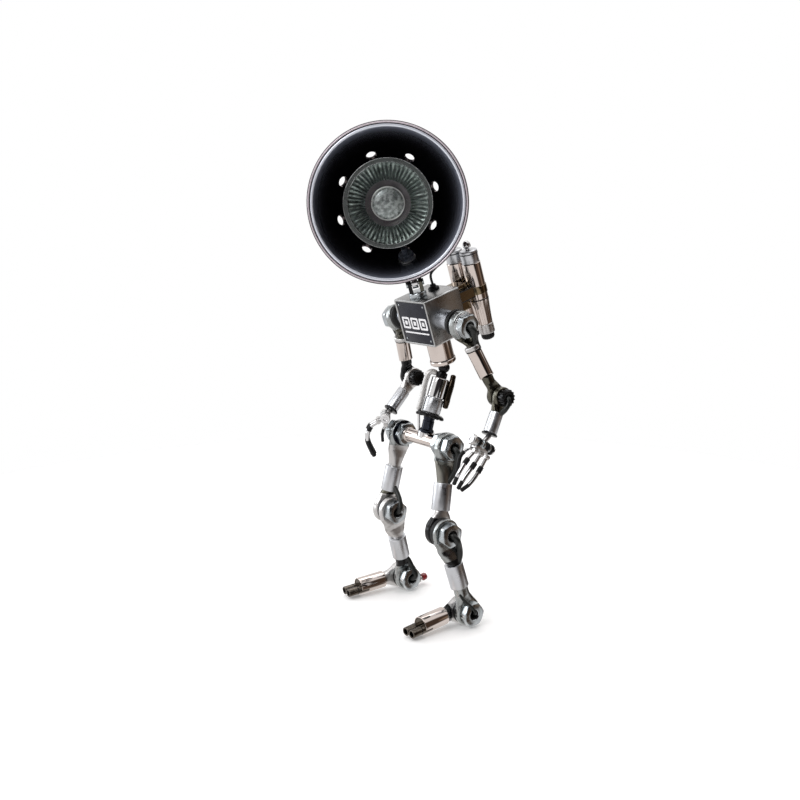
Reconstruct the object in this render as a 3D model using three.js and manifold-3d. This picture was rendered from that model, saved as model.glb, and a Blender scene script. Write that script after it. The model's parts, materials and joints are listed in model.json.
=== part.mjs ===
// Posable desk lamp in the shape of a standing metal figure.
// Millimetres. +Z up, the figure faces -Y, its left hand side is +X.
// The posture is set by the joint centres below; the group is finally moved so
// that its origin is the centre of the footprint box, on the floor.
import * as THREE from 'three';
import { mergeVertices } from 'three/addons/utils/BufferGeometryUtils.js';
import Module from 'manifold-3d';

const wasm = await Module();
wasm.setup();

// ---------------------------------------------------------------- dimensions
const FINE = 0.54;                        // facets per turn, as a share of the figure given with each piece
const V = (x, y, z) => new THREE.Vector3(x, y, z);
const D = Math.PI / 180;

// leg joints: eye centres (hip on the pelvis axle; knee and ankle are two eyes side by side)
const EYE_PITCH = 6.0;                 // side by side spacing of two eyes on one bolt
const LEG = {
  left:  { hip: V(21.5, 6.9, 104.6),  knee: V(28.3, -4.1, 57.0),  ankle: V(38.4, 9.3, 8.0),   toeOut: 4.7 },
  right: { hip: V(-26.0, 6.9, 104.6), knee: V(-29.4, -2.7, 56.4), ankle: V(-30.3, 13.1, 8.0), toeOut: -3.5 },
};
const LEG_EYE_R = 8.0, KNEE_EYE_R = 8.6, LEG_BORE_R = 3.4, LEG_NUT_AF = 13;
const SLEEVE_R = 5.5, SLEEVE_BORE_R = 3.9;
const FOOT_TUBE_R = 5.3, FOOT_TUBE_BORE = 4.75, TOE_R = 2.5, TOE_PITCH = 5.3, TOE_DROP = 1.2;

// torso box
const TORSO_C = V(2.9, 9.0, 180.2), TORSO_W = 29.4, TORSO_H = 28.0, TORSO_D = 26.7, WALL = 1.3;
const TORSO_PITCH = 18, TORSO_YAW = 2.6;
const SHOULDER_S = 30, SHOULDER_F = 3.2, SHOULDER_DROP = 2.0, SHOULDER_TILT = 8;
const ARM_EYE_R = 7.9;
const ARM = {
  left:  { elbow: V(49.0, 25.3, 135.9), wrist: V(50.5, 15.2, 115.7) },
  right: { elbow: V(-32.4, 20.8, 137.6), wrist: V(-32.1, 3.3, 118.3) },
};
const ELBOW_EYE_R = 5.9, ELBOW_PITCH = 4.9;

// spine
const SPINE_BASE = V(1.0, 9.5, 119.5), SPINE_DIR = V(0.043, 0.317, 0.9475).normalize(), WAIST_T = 30;
// head
const HEAD_C = V(3.6, -22.0, 245.2), HEAD_AZ = 56.4, HEAD_EL = -1.15;
const RIM_R = 46.0, SHADE_DEPTH = 50.0, SHADE_T = 1.1, VENT_R = 3.1, VENTS = 8;
const NECK_F = 5.8, NECK_UP = 8.2;

// ------------------------------------------------------------------ materials
const mat = (c, r, m) => new THREE.MeshStandardMaterial({ color: c, roughness: r, metalness: m });
const CHROME = mat(0xd9cfc9, 0.08, 1), SATIN = mat(0xc9ccd2, 0.35, 1), ZINC = mat(0x9a9d9b, 0.3, 1),
  BLACKOX = mat(0x2a2a28, 0.35, 0.8), RUBBER = mat(0x0c0c0d, 0.6, 0), ALU = mat(0xa9a9a7, 0.4, 1),
  PLATE = mat(0x1c1d28, 0.3, 0), GUN = mat(0x4a4038, 0.25, 1), RED = mat(0x7a0a0c, 0.35, 0),
  SHADEM = mat(0x0a0b0e, 0.1, 0.2), GLASS = mat(0xb8c4be, 0.05, 0.1), CERAMIC = mat(0xe6e2da, 0.5, 0);

// -------------------------------------------------------------------- helpers
function solid(geom) {                       // BufferGeometry -> Manifold, faces out
  const g = geom.index ? geom.clone() : geom.clone();
  g.deleteAttribute('normal'); g.deleteAttribute('uv');
  const m = mergeVertices(g, 1e-4);
  const p = m.attributes.position, idx = m.index.array, tri = [];
  for (let i = 0; i < idx.length; i += 3) {
    const a = idx[i], b = idx[i + 1], c = idx[i + 2];
    if (a !== b && b !== c && a !== c) tri.push(a, b, c);
  }
  let vol = 0;
  const A = V(), B = V(), C = V();
  for (let i = 0; i < tri.length; i += 3) {
    A.fromBufferAttribute(p, tri[i]); B.fromBufferAttribute(p, tri[i + 1]); C.fromBufferAttribute(p, tri[i + 2]);
    vol += A.dot(B.cross(C));
  }
  if (vol < 0) for (let i = 0; i < tri.length; i += 3) { const t = tri[i]; tri[i] = tri[i + 1]; tri[i + 1] = t; }
  return new wasm.Manifold(new wasm.Mesh({ numProp: 3, vertProperties: new Float32Array(p.array), triVerts: new Uint32Array(tri) }));
}
function geo(man) {                          // Manifold -> BufferGeometry
  const m = man.getMesh(), g = new THREE.BufferGeometry();
  g.setAttribute('position', new THREE.BufferAttribute(new Float32Array(m.vertProperties), 3));
  g.setIndex(new THREE.BufferAttribute(new Uint32Array(m.triVerts), 1));
  g.computeVertexNormals();
  return g;
}
const moved = (g, x, y, z) => g.translate(x, y, z);
// solid or ring of revolution about local Z; a ring repeats its first point
function turned(pts, seg0 = 20) {
  const seg = Math.max(6, Math.round(seg0 * FINE));
  const g = new THREE.LatheGeometry(pts.map(([r, z]) => new THREE.Vector2(r, z)), seg);
  return g.rotateX(Math.PI / 2).rotateZ(Math.PI / 2 + Math.PI / seg);
}
// cylinder along Z from z0 to z1
const rod = (r, z0, z1, seg = 16) => turned([[0, z0], [r, z0], [r, z1], [0, z1]], seg);
const tube = (r, ri, z0, z1, seg = 20) => turned([[ri, z0], [r, z0], [r, z1], [ri, z1], [ri, z0]], seg);
function hex(af, z0, z1) {                   // hexagon nut along Z with turned corners
  const r = af / Math.sqrt(3);
  const h = new THREE.CylinderGeometry(r, r, z1 - z0, 6).rotateX(Math.PI / 2).translate(0, 0, (z0 + z1) / 2);
  return solid(h);
}
const aboutX = (g) => g.rotateY(Math.PI / 2);   // local Z -> local X
function frameAt(o, z, xh) {                 // axes: z given, x as near xh as can be
  const Z = z.clone().normalize(), X = xh.clone().addScaledVector(Z, -xh.dot(Z)).normalize(), Y = Z.clone().cross(X);
  return new THREE.Matrix4().makeBasis(X, Y, Z).setPosition(o);
}
function frameX(o, x, zh) {                  // axes: x given exactly, z as near zh as can be
  const X = x.clone().normalize(), Z = zh.clone().addScaledVector(X, -zh.dot(X)).normalize(), Y = Z.clone().cross(X);
  return new THREE.Matrix4().makeBasis(X, Y, Z).setPosition(o);
}
const bodies = {};
function body(name) { if (!bodies[name]) { bodies[name] = new THREE.Group(); bodies[name].name = name; root.add(bodies[name]); } return bodies[name]; }
const root = new THREE.Group();
function add(bodyName, name, geom, material, matrix) {
  const g = geom.getMesh ? geo(geom) : geo(solid(geom));
  const m = new THREE.Mesh(g, material);
  m.name = name;
  if (matrix) matrix.decompose(m.position, m.quaternion, m.scale);
  body(bodyName).add(m);
  return m;
}
function bent(points, r, steps, seg = 8) {   // round bar along a smooth curve
  const sh = new THREE.Shape();
  for (let i = 0; i < seg; i++) { const a = (i + 0.5) * 2 * Math.PI / seg; const f = i ? 'lineTo' : 'moveTo'; sh[f](r * Math.cos(a), r * Math.sin(a)); }
  sh.closePath();
  return new THREE.ExtrudeGeometry(sh, { steps, bevelEnabled: false, extrudePath: new THREE.CatmullRomCurve3(points, false, 'centripetal') });
}
const smooth = (t) => { t = Math.min(1, Math.max(0, t)); return t * t * (3 - 2 * t); };

// Rod end. Local frame: bore axis X, shank along +Z. The profile rows are
// [distance, half width in the plane of the eye, half thickness across it].
// lean = sideways drift of the shank per mm, so that it points at the next joint.
function rodEnd({ R, w = 2.5, bw = 2.85, bore = LEG_BORE_R, rows, lean = 0, extra = null, seg = 15, ringSeg = 26 }) {
  const land = Math.min(5.6, R - 2.2);
  const ring = aboutX(turned([[bore, -bw], [land, -bw], [R, -w + 0.5], [R, w - 0.5], [land, bw], [bore, bw], [bore, -bw]], ringSeg));
  const prof = [[0, rows[0][0]], ...rows.map(([d, a]) => [a, d]), [0, rows[rows.length - 1][0]]];
  const sh = turned(prof, seg), p = sh.attributes.position;
  for (let i = 0; i < p.count; i++) {
    const z = p.getZ(i);
    let k = 0; while (k < rows.length - 2 && z > rows[k + 1][0]) k++;
    const a = rows[k], b = rows[k + 1], t = Math.min(1, Math.max(0, (z - a[0]) / (b[0] - a[0])));
    const hw = a[1] + (b[1] - a[1]) * t, ht = a[2] + (b[2] - a[2]) * t;
    p.setX(i, p.getX(i) * ht / hw + lean * z * smooth((z - R + 0.5) / 4));
  }
  let s = solid(sh).add(solid(ring));
  if (extra) s = s.add(extra);
  return s.subtract(solid(aboutX(rod(bore, -12, 12, ringSeg))));
}
// straight piece of revolution laid along the leaning line of a rod end
function leaned(g, lean) {
  const a = Math.atan(lean);
  return g.rotateY(a);
}
const AX = V(1, 0, 0);
const largest = (s) => s.decompose().sort((a, b) => b.volume() - a.volume())[0];

// ------------------------------------------------------------------- pelvis
{
  const L = LEG.left.hip, R = LEG.right.hip, gapIn = 3.15, nut = 4.5;
  const x0 = R.x + gapIn, x1 = L.x - gapIn, c = V((x0 + x1) / 2, L.y, L.z), h = (x1 - x0) / 2;
  const bar = turned([[0, -h + 0.2], [4.6, -h + 0.2], [4.6, -h + nut + 1.6], [4.0, -h + nut + 2.0], [4.0, h - nut - 2.0], [4.6, h - nut - 1.6], [4.6, h - 0.2], [0, h - 0.2]], 20);
  const s = solid(aboutX(bar)).add(solid(aboutX(geo(hex(LEG_NUT_AF, -h, -h + nut))))).add(solid(aboutX(geo(hex(LEG_NUT_AF, h - nut, h)))));
  add('pelvis', 'pelvis_tube', s, CHROME, new THREE.Matrix4().setPosition(c));
  // stem standing on the pelvis tube, flange above it
  const foot = V(-1.2, L.y + 0.3, L.z), top = SPINE_BASE.clone();
  const dir = top.clone().sub(foot), len = dir.length(), M = frameAt(foot, dir, AX);
  const inv = M.clone().invert();
  const saddle = aboutX(rod(4.0 + 0.3, -20, 20, 24)).applyMatrix4(new THREE.Matrix4().setPosition(c)).applyMatrix4(inv);
  let stem = solid(turned([[0, 0], [4.4, 0], [4.4, 6.0], [3.5, 6.8], [3.5, len - 0.4], [0, len - 0.4]], 18)).subtract(solid(saddle));
  const fl = solid(turned([[0, -0.6], [7.2, -0.6], [8.1, 0.5], [8.1, 1.2], [7.6, 1.6], [0, 1.6]], 28).applyMatrix4(frameAt(SPINE_BASE, SPINE_DIR, AX)).applyMatrix4(inv));
  stem = largest(stem).add(fl);
  add('pelvis', 'waist_stem', stem, BLACKOX, M);
}
// -------------------------------------------------------------------- spine
const SPINE = frameAt(SPINE_BASE, SPINE_DIR, AX);
const WAIST = SPINE_BASE.clone().addScaledVector(SPINE_DIR, WAIST_T);
{
  // collar, cylinder and the ball that the torso turns on
  const pts = [[0, 1.9], [5.4, 1.9], [5.6, 2.2], [5.6, 10.3], [5.2, 10.5], [5.2, 10.9], [4.9, 10.9], [5.3, 11.3], [5.3, 22.9], [4.9, 23.3], [3.3, 23.3], [3.3, 26.4]];
  for (let i = 0; i <= 4; i++) { const a = (-50 + i * 140 / 4) * D; pts.push([Math.max(0, 3.5 * Math.cos(a)), WAIST_T + 3.5 * Math.sin(a)]); }
  pts[pts.length - 1][0] = 0;
  add('pelvis', 'waist_cylinder', turned(pts, 26), CHROME, SPINE);
  // two side hoses standing beside the cylinder
  const H = (c, s, rho, z) => V(c * rho, s * rho, z);
  const front = [[4.0, 25.6], [6.2, 25.6], [7.8, 24.2], [8.3, 21.0], [8.3, 17.0], [7.8, 12.5], [7.5, 7.0], [7.5, 1.9]].map(([r, z]) => H(-0.577, -0.817, r, z));
  const rear = [[4.0, 25.6], [5.4, 25.6], [6.9, 24.4], [7.2, 21.0], [7.0, 15.0], [7.2, 12.2], [7.5, 10.0], [7.5, 7.2]].map(([r, z]) => H(0.577, 0.817, r, z));
  add('pelvis', 'waist_hose_front', bent(front, 1.7, 12, 7), ZINC, SPINE);
  add('pelvis', 'waist_hose_rear', bent(rear, 1.6, 12, 7), BLACKOX, SPINE);
}
// -------------------------------------------------------------------- torso
const ty = TORSO_YAW * D, tp = TORSO_PITCH * D;
const TL = V(Math.cos(ty), Math.sin(ty), 0), F0 = V(Math.sin(ty), -Math.cos(ty), 0);
const TF = F0.clone().multiplyScalar(Math.cos(tp)).add(V(0, 0, -Math.sin(tp)));
const TU = F0.clone().multiplyScalar(Math.sin(tp)).add(V(0, 0, Math.cos(tp)));
// torso frame: x = left, y = back, z = up
const TORSO = new THREE.Matrix4().makeBasis(TL, TF.clone().negate(), TU).setPosition(TORSO_C);
const tpt = (s, f, u) => TORSO_C.clone().addScaledVector(TL, s).addScaledVector(TF, f).addScaledVector(TU, u);
const box = (w, d, h, x = 0, y = 0, z = 0) => new THREE.BoxGeometry(w, d, h).translate(x, y, z);
{
  const W = TORSO_W, H = TORSO_H, Dp = TORSO_D;
  // folded housing, open at the front, with holes for waist, neck and cables
  const outline = new THREE.Shape();
  const b = 1.0, w2 = W / 2, h2 = H / 2;
  outline.moveTo(-w2 + b, -h2); outline.lineTo(w2 - b, -h2); outline.lineTo(w2, -h2 + b); outline.lineTo(w2, h2 - b);
  outline.lineTo(w2 - b, h2); outline.lineTo(-w2 + b, h2); outline.lineTo(-w2, h2 - b); outline.lineTo(-w2, -h2 + b); outline.closePath();
  const shell = new THREE.ExtrudeGeometry(outline, { depth: Dp, bevelEnabled: false }).rotateX(Math.PI / 2).translate(0, Dp / 2, 0);
  let s = solid(shell).subtract(solid(box(W - 2 * WALL, Dp, H - 2 * WALL, 0, -WALL, 0)));
  s = s.subtract(solid(rod(2.3, h2 - 4, h2 + 3, 16).translate(0, 6.5, 0)));     // cable hole, top
  s = s.subtract(solid(rod(2.6, h2 - 4, h2 + 3, 16).translate(0, -NECK_F, 0)));  // neck stud hole
  s = s.subtract(solid(rod(4.6, -h2 - 3, -h2 + 4, 16)));                         // waist hole
  add('torso', 'torso_housing', s, ALU, TORSO);
  // name plate without any marking, set in the mouth of the housing
  let pl = solid(box(W - 2 * WALL - 0.7, 1.4, H - 2 * WALL - 0.7, 0, -Dp / 2 + 1.0, 0));
  add('torso', 'chest_plate', pl, PLATE, TORSO);
  add('torso', 'terminal_block', solid(box(15, 8, 10, 0, 4.5, -3)).subtract(solid(rod(1.5, -5, 5, 8).translate(-4, 4.5, 0))).subtract(solid(rod(1.5, -5, 5, 8).translate(4, 4.5, 0))), CERAMIC, TORSO);
  add('torso', 'cable_grommet', turned([[0.95, -1.0 + h2], [2.0, h2 - 1.0], [2.0, h2 + 0.3], [3.3, h2 + 0.3], [3.1, h2 + 1.3], [1.9, h2 + 2.6], [0.95, h2 + 2.6], [0.95, -1.0 + h2]], 14).translate(0, 6.5, 0), RUBBER, TORSO);
  // waist tube under the housing with the ring at its foot
  add('torso', 'upper_waist_tube', turned([[5.6, -h2 - 0.3], [7.4, -h2 - 0.3], [7.4, -h2 - 14.0], [7.9, -h2 - 14.3], [7.9, -h2 - 16.1], [7.5, -h2 - 16.5], [4.9, -h2 - 16.5], [4.9, -h2 - 15.0], [5.6, -h2 - 14.4], [5.6, -h2 - 0.3]], 28), CHROME, TORSO);
  // power inlet: small socket low on the back
  add('torso', 'power_inlet', turned([[0, 0], [3.6, 0], [3.6, 1.6], [2.9, 2.0], [2.9, 3.2], [1.4, 3.2], [1.4, 1.2], [0.5, 1.2], [0.5, 3.0], [0, 3.0]], 16), BLACKOX,
    TORSO.clone().multiply(new THREE.Matrix4().makeBasis(V(1, 0, 0), V(0, 0, -1), V(0, 1, 0)).setPosition(0, Dp / 2 + 0.3, -h2 + 4.4)));
}
// ------------------------------------------------------------------ jet pack
{
  const back = TORSO_D / 2;
  const prof = [[0, -27.4], [3.2, -27.4], [4.0, -26.4], [4.0, -23.4], [4.9, -23.0], [4.9, -17.4], [5.2, -17.2], [4.9, -11.2], [5.8, -1.1], [5.8, 21.6], [5.3, 22.0], [5.3, 29.0], [4.4, 29.6], [1.6, 29.8], [2.4, 32.2], [1.2, 35.4], [0, 35.4]];
  for (const [n, s] of [['left', 1], ['right', -1]]) {
    const M = TORSO.clone().multiply(new THREE.Matrix4().setPosition(s * 6.9, back + 19.4, 0));
    add('torso', 'tank_' + n, turned(prof, 20), CHROME, M);
  }
  // clamp block between housing and tanks
  let br = solid(box(20, 15.2, 7.0, 0, 0.3 + 7.6, 5)).add(solid(box(11, 13.0, 16, 0, 0.3 + 6.5, 3)));
  for (const s of [1, -1]) br = br.subtract(solid(rod(6.1, -40, 60, 24).translate(s * 6.9, 19.4, 0)));
  add('torso', 'tank_bracket', largest(br), GUN, TORSO.clone().multiply(new THREE.Matrix4().setPosition(0, back, 0)));
}
// ---------------------------------------------------------------------- legs
// the power switch sits behind the right heel
const BTN_DIR = V(0, Math.cos(12 * D), Math.sin(12 * D));
const BTN = LEG.right.ankle.clone().add(V(0, 7.4, -5.0));
const BTNM = frameAt(BTN, BTN_DIR, AX);
for (const side of ['left', 'right']) {
  const { hip, knee, ankle, toeOut } = LEG[side], sg = side === 'left' ? 1 : -1;
  const kneeF = knee.clone().add(V(EYE_PITCH, 0, 0));     // front eye of the knee, on the shin
  const heel = ankle.clone().add(V(-EYE_PITCH, 0, 0));    // rear eye of the ankle, on the foot
  const shankRows = (R, len, r = 3.4) => [[3, R - 0.6, 2.3], [R + 0.6, R - 0.5, 2.4], [R + 4.2, R - 1.5, 2.9], [R + 7.6, R - 2.8, 3.4], [R === LEG_EYE_R ? 21.0 : 18.9, 3.75, 3.5], [len, r, r]];
  const nutEnd = (o, a, b, n, r = 3.05, hole = 2.1) => solid(rod(r, a, b, 16)).add(hex(LEG_NUT_AF, n, n + 4.7)).subtract(solid(rod(hole, -30, 30, 12)));
  // hip bolt, on the pelvis
  const hb = nutEnd(null, -2.85, 3.5, 3.15);
  add('pelvis', 'hip_bolt_' + side, solid(aboutX(geo(hb))), ZINC, sg > 0 ? new THREE.Matrix4().setPosition(hip) : new THREE.Matrix4().makeRotationZ(Math.PI).setPosition(hip));
  // thigh: upper rod end, then sleeve with the lower eye
  const link = (top, bot) => { const v = bot.clone().sub(top), dz = Math.hypot(v.y, v.z); return { v, dz, lean: v.x / dz, len: v.length(), down: V(0, v.y, v.z).normalize() }; };
  const T = link(hip, knee);
  add('thigh_' + side, 'thigh_rod_end_' + side, rodEnd({ R: LEG_EYE_R, rows: shankRows(LEG_EYE_R, 34), lean: T.lean }), ZINC, frameX(hip, AX, T.down));
  const sleeve = (len, top, lowEnd, R, lean) => {          // local z up from the lower eye
    const z0 = lowEnd, z1 = len - top;
    return solid(leaned(turned([[0, z0], [SLEEVE_R - 0.3, z0], [SLEEVE_R, z0 + 0.3], [SLEEVE_R, z1 - 0.3], [SLEEVE_R - 0.3, z1], [SLEEVE_BORE_R, z1], [SLEEVE_BORE_R, z0 + 2.0], [0, z0 + 2.0]], 22), lean));
  };
  add('thigh_' + side, 'thigh_sleeve_' + side, rodEnd({ R: KNEE_EYE_R, rows: [[3, 7.2, 2.3], [7.8, 6.6, 2.4], [11.2, 4.7, 3.9], [12.6, 4.6, 4.2]], lean: -T.lean, extra: sleeve(T.len, 21.8, 11.7, KNEE_EYE_R, -T.lean) }), SATIN, frameX(knee, AX, T.down.clone().negate()));
  // knee bolt through both eyes, on the thigh
  const kb = solid(rod(3.05, -3.5, EYE_PITCH + 3.5, 16)).add(hex(LEG_NUT_AF, EYE_PITCH + 3.15, EYE_PITCH + 7.85)).add(solid(turned([[0, -3.15], [5.6, -3.15], [5.6, -4.6], [4.4, -5.6], [0, -5.6]], 18))).subtract(solid(rod(2.1, -30, 30, 12)));
  add('thigh_' + side, 'knee_bolt_' + side, solid(aboutX(geo(kb))), ZINC, new THREE.Matrix4().setPosition(knee));
  // shin
  const S = link(kneeF, ankle);
  add('shin_' + side, 'shin_rod_end_' + side, rodEnd({ R: KNEE_EYE_R, rows: shankRows(KNEE_EYE_R, 30.5), lean: S.lean }), ZINC, frameX(kneeF, AX, S.down));
  const SM = frameX(ankle, AX, S.down.clone().negate());
  let lower = sleeve(S.len, 19.6, 16.6, LEG_EYE_R, -S.lean);
  if (side === 'right') lower = lower.add(solid(turned([[0, -2.0], [2.3, -2.0], [2.3, 3.4], [2.05, 3.8], [0, 3.8]], 16).applyMatrix4(BTNM).applyMatrix4(SM.clone().invert())).subtract(solid(rod(1.45, 2.0, 6, 14).applyMatrix4(BTNM).applyMatrix4(SM.clone().invert()))));
  add('shin_' + side, 'shin_sleeve_' + side, rodEnd({ R: LEG_EYE_R, rows: [[3, 6.8, 2.3], [7.3, 6.0, 2.4], [11.6, 4.3, 3.9], [18.0, 4.1, 4.1]], lean: -S.lean, extra: lower }), SATIN, SM);
  // ankle bolt, on the shin
  const ab = solid(rod(3.05, -EYE_PITCH - 3.5, 3.5, 16)).add(hex(LEG_NUT_AF, 3.15, 7.6)).add(solid(turned([[0, -EYE_PITCH - 3.15], [5.2, -EYE_PITCH - 3.15], [5.2, -EYE_PITCH - 4.4], [4.2, -EYE_PITCH - 5.2], [0, -EYE_PITCH - 5.2]], 18))).subtract(solid(rod(2.1, -30, 30, 12)));
  add('shin_' + side, 'ankle_bolt_' + side, solid(aboutX(geo(ab))), ZINC, new THREE.Matrix4().setPosition(ankle));
  // foot: rod end, round tube, two toes
  const fdir = V(Math.sin(toeOut * D), -Math.cos(toeOut * D), 0);
  const drop = (heel.z - FOOT_TUBE_R) / 31.4;
  const fd = fdir.clone().add(V(0, 0, -drop)).normalize();
  const lean = Math.tan(toeOut * D);
  const FM = frameX(heel, AX, fd);
  const ftube = solid(leaned(turned([[0, 12.6], [4.2, 12.6], [FOOT_TUBE_R, 13.8], [FOOT_TUBE_R, 31.3], [FOOT_TUBE_BORE, 31.3], [FOOT_TUBE_BORE, 19.0], [0, 19.0]], 24), lean));
  add('foot_' + side, 'foot_' + side, rodEnd({ R: LEG_EYE_R, rows: [[3, 6.8, 2.3], [7.3, 6.0, 2.4], [11.4, 4.2, 3.9], [14.5, 4.1, 4.1]], lean, extra: ftube }), CHROME, FM);
  const toe = (x) => solid(rod(TOE_R, 22.0, 40.2, 16).translate(x, -TOE_DROP, 0));
  let toes = toe(-TOE_PITCH / 2).add(toe(TOE_PITCH / 2)).add(solid(rod(4.3, 22, 30.8, 20)));
  toes = toes.subtract(solid(tube(9, 4.35, 15, 31.7, 20)));
  for (const x of [-1, 1]) toes = toes.subtract(solid(rod(1.5, 34, 45, 14).translate(x * TOE_PITCH / 2, -TOE_DROP, 0)));
  const la = new THREE.Matrix4().makeRotationY(Math.atan(lean));
  add('foot_' + side, 'toes_' + side, toes, GUN, FM.clone().multiply(la));
}
add('button', 'power_button', turned([[0, 4.0], [1.15, 4.0], [1.15, 5.6], [2.2, 5.6], [2.35, 6.2], [2.2, 8.2], [1.6, 8.9], [0, 9.1]], 16), RED, BTNM);
// ---------------------------------------------------------------------- arms
const OUTER = { left: TL.clone().multiplyScalar(Math.cos(SHOULDER_TILT * D)).addScaledVector(TU, -Math.sin(SHOULDER_TILT * D)),
                right: TL.clone().multiplyScalar(-Math.cos(SHOULDER_TILT * D)).addScaledVector(TU, -Math.sin(SHOULDER_TILT * D)) };
const SHOULDER = { left: tpt(SHOULDER_S, SHOULDER_F, -SHOULDER_DROP), right: tpt(-SHOULDER_S, SHOULDER_F, -SHOULDER_DROP) };
const HAND = {
  left: {
    palm: V(50.2, 9.6, 110.4), along: V(0, -0.857, 0.516),
    digits: {
      thumb:    { r: 1.15, pts: [V(47.6, 4.6, 109.6), V(45.6, -1.3, 105.0), V(45.3, -2.7, 100.5), V(44.5, -3.0, 95.5)] },
      finger_1: { r: 1.3, pts: [V(50.6, 5.0, 108.0), V(50.9, -1.6, 102.7), V(50.8, -6.8, 96.3), V(49.1, -8.8, 90.3)] },
      finger_2: { r: 1.3, pts: [V(50.8, 9.0, 105.8), V(51.8, 2.7, 99.6), V(51.4, -3.3, 93.2), V(50.1, -6.6, 87.6)] },
      finger_3: { r: 1.3, pts: [V(50.9, 13.2, 103.4), V(52.3, 7.3, 97.1), V(52.5, 0.3, 90.1), V(50.8, -4.7, 86.4)] },
    },
  },
  right: {},
};
{
  // right hand: the same hand swivelled at the wrist, fingers curling forwards
  const c = V(-32, -1.0, 114.6), u = V(-0.555, -0.832, 0), a = V(0.832, -0.555, 0), P = (k, du, dz) => c.clone().addScaledVector(a, k).addScaledVector(u, du).add(V(0, 0, dz));
  HAND.right = {
    palm: c, along: a,
    digits: {
      thumb:    { r: 1.15, pts: [P(1.6, -0.2, -3.8), P(1.8, 0.9, -7.2), P(1.8, 1.9, -11.0), P(1.8, 1.7, -15.4)] },
      finger_1: { r: 1.3, pts: [P(4.9, 2.9, -1.6), P(4.4, 9.4, -6.4), P(3.8, 11.0, -14.6), P(3.4, 7.0, -24.2)] },
      finger_2: { r: 1.3, pts: [P(0.6, 3.1, -1.4), P(0.6, 9.8, -5.8), P(0.6, 11.6, -14.0), P(0.6, 8.0, -23.8)] },
      finger_3: { r: 1.3, pts: [P(-4.0, 2.9, -1.6), P(-3.6, 9.4, -6.4), P(-3.0, 11.0, -14.6), P(-2.6, 7.0, -24.2)] },
    },
  };
}
for (const side of ['left', 'right']) {
  const sh = SHOULDER[side], out = OUTER[side], { elbow, wrist } = ARM[side], sg = side === 'left' ? 1 : -1;
  const axis = out.clone().multiplyScalar(sg);             // shoulder axis, pointing to the left side
  // spacer and boss between housing and eye, on the torso
  const M = frameAt(sh, out, V(0, 0, 1));
  const wallGap = (SHOULDER_S - TORSO_W / 2) / Math.cos(SHOULDER_TILT * D);
  let boss = solid(turned([[0, -wallGap - 3], [6.0, -wallGap - 3], [6.0, -6.7], [6.6, -6.2], [7.6, -4.8], [7.6, -3.15], [0, -3.15]], 24));
  boss = boss.subtract(solid(box(TORSO_W + 0.6, 60, 60)).transform([...TORSO.clone().premultiply(M.clone().invert()).elements]));
  boss = largest(boss);
  const sb = boss.add(solid(rod(3.05, -5, 3.5, 16))).add(hex(LEG_NUT_AF, 3.15, 7.4)).subtract(solid(rod(2.1, -2, 30, 12)));
  add('torso', 'shoulder_bolt_' + side, sb, ZINC, M);
  // upper arm
  const v = elbow.clone().add(V(-ELBOW_PITCH, 0, 0)).sub(sh), k = v.dot(axis), w = v.clone().addScaledVector(axis, -k), dz = w.length();
  const lean = k / dz;
  add('upper_arm_' + side, 'upper_arm_rod_end_' + side, rodEnd({ R: ARM_EYE_R, rows: [[3, 6.5, 2.3], [7.2, 5.8, 2.4], [10.2, 4.0, 3.4], [12.4, 2.9, 2.9], [24, 2.5, 2.5]], lean }), ZINC, frameX(sh, axis, w));
  // elbow: the upper arm's lower eye sits inboard, the forearm eye outboard under the knurled nut
  const eAxis = AX.clone();
  const f = wrist.clone().sub(elbow);
  const inn = elbow.clone().addScaledVector(eAxis, -ELBOW_PITCH);
  // local frame of the tube: z from elbow up to the shoulder; its axis passes half way between the two eyes
  const up = sh.clone().sub(inn), ku = up.dot(eAxis), wu = up.clone().addScaledVector(eAxis, -ku), L2 = up.length(), lu = ku / wu.length();
  const tb = solid(leaned(turned([[0, 11.0], [3.6, 11.0], [4.3, 12.2], [4.3, L2 - 15.6], [4.7, L2 - 15.2], [4.7, L2 - 13.9], [3.6, L2 - 13.9], [3.6, L2 - 28], [0, L2 - 28]], 22), lu));
  add('upper_arm_' + side, 'upper_arm_tube_' + side, rodEnd({ R: ELBOW_EYE_R, w: 1.9, bw: 2.1, bore: 2.0, rows: [[1.5, 5.0, 1.8], [4.6, 4.6, 1.8], [6.6, 3.9, 2.4], [9.0, 3.3, 3.0], [12.0, 3.3, 3.3]], lean: lu, extra: tb, ringSeg: 20, seg: 14 }), CHROME, frameX(inn, eAxis, wu));
  const kn = new THREE.Shape(); const NK = 12;
  for (let i = 0; i < NK; i++) { const a0 = (i - 0.22) * 2 * Math.PI / NK, a1 = (i + 0.22) * 2 * Math.PI / NK; kn[i ? 'lineTo' : 'moveTo'](5.0 * Math.cos(a0), 5.0 * Math.sin(a0)); kn.lineTo(5.0 * Math.cos(a1), 5.0 * Math.sin(a1)); const am = (i + 0.5) * 2 * Math.PI / NK; kn.lineTo(4.5 * Math.cos(am), 4.5 * Math.sin(am)); }
  kn.closePath();
  const knob = solid(new THREE.ExtrudeGeometry(kn, { depth: 3.6, bevelEnabled: false }).translate(0, 0, 2.4)).add(solid(rod(1.65, -ELBOW_PITCH - 2.6, 2.6, 12))).add(solid(turned([[0, -ELBOW_PITCH - 2.4], [3.4, -ELBOW_PITCH - 2.4], [3.4, -ELBOW_PITCH - 3.4], [2.6, -ELBOW_PITCH - 4.0], [0, -ELBOW_PITCH - 4.0]], 14)));
  add('upper_arm_' + side, 'elbow_knob_' + side, solid(aboutX(geo(knob))), BLACKOX, new THREE.Matrix4().setPosition(elbow));
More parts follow.
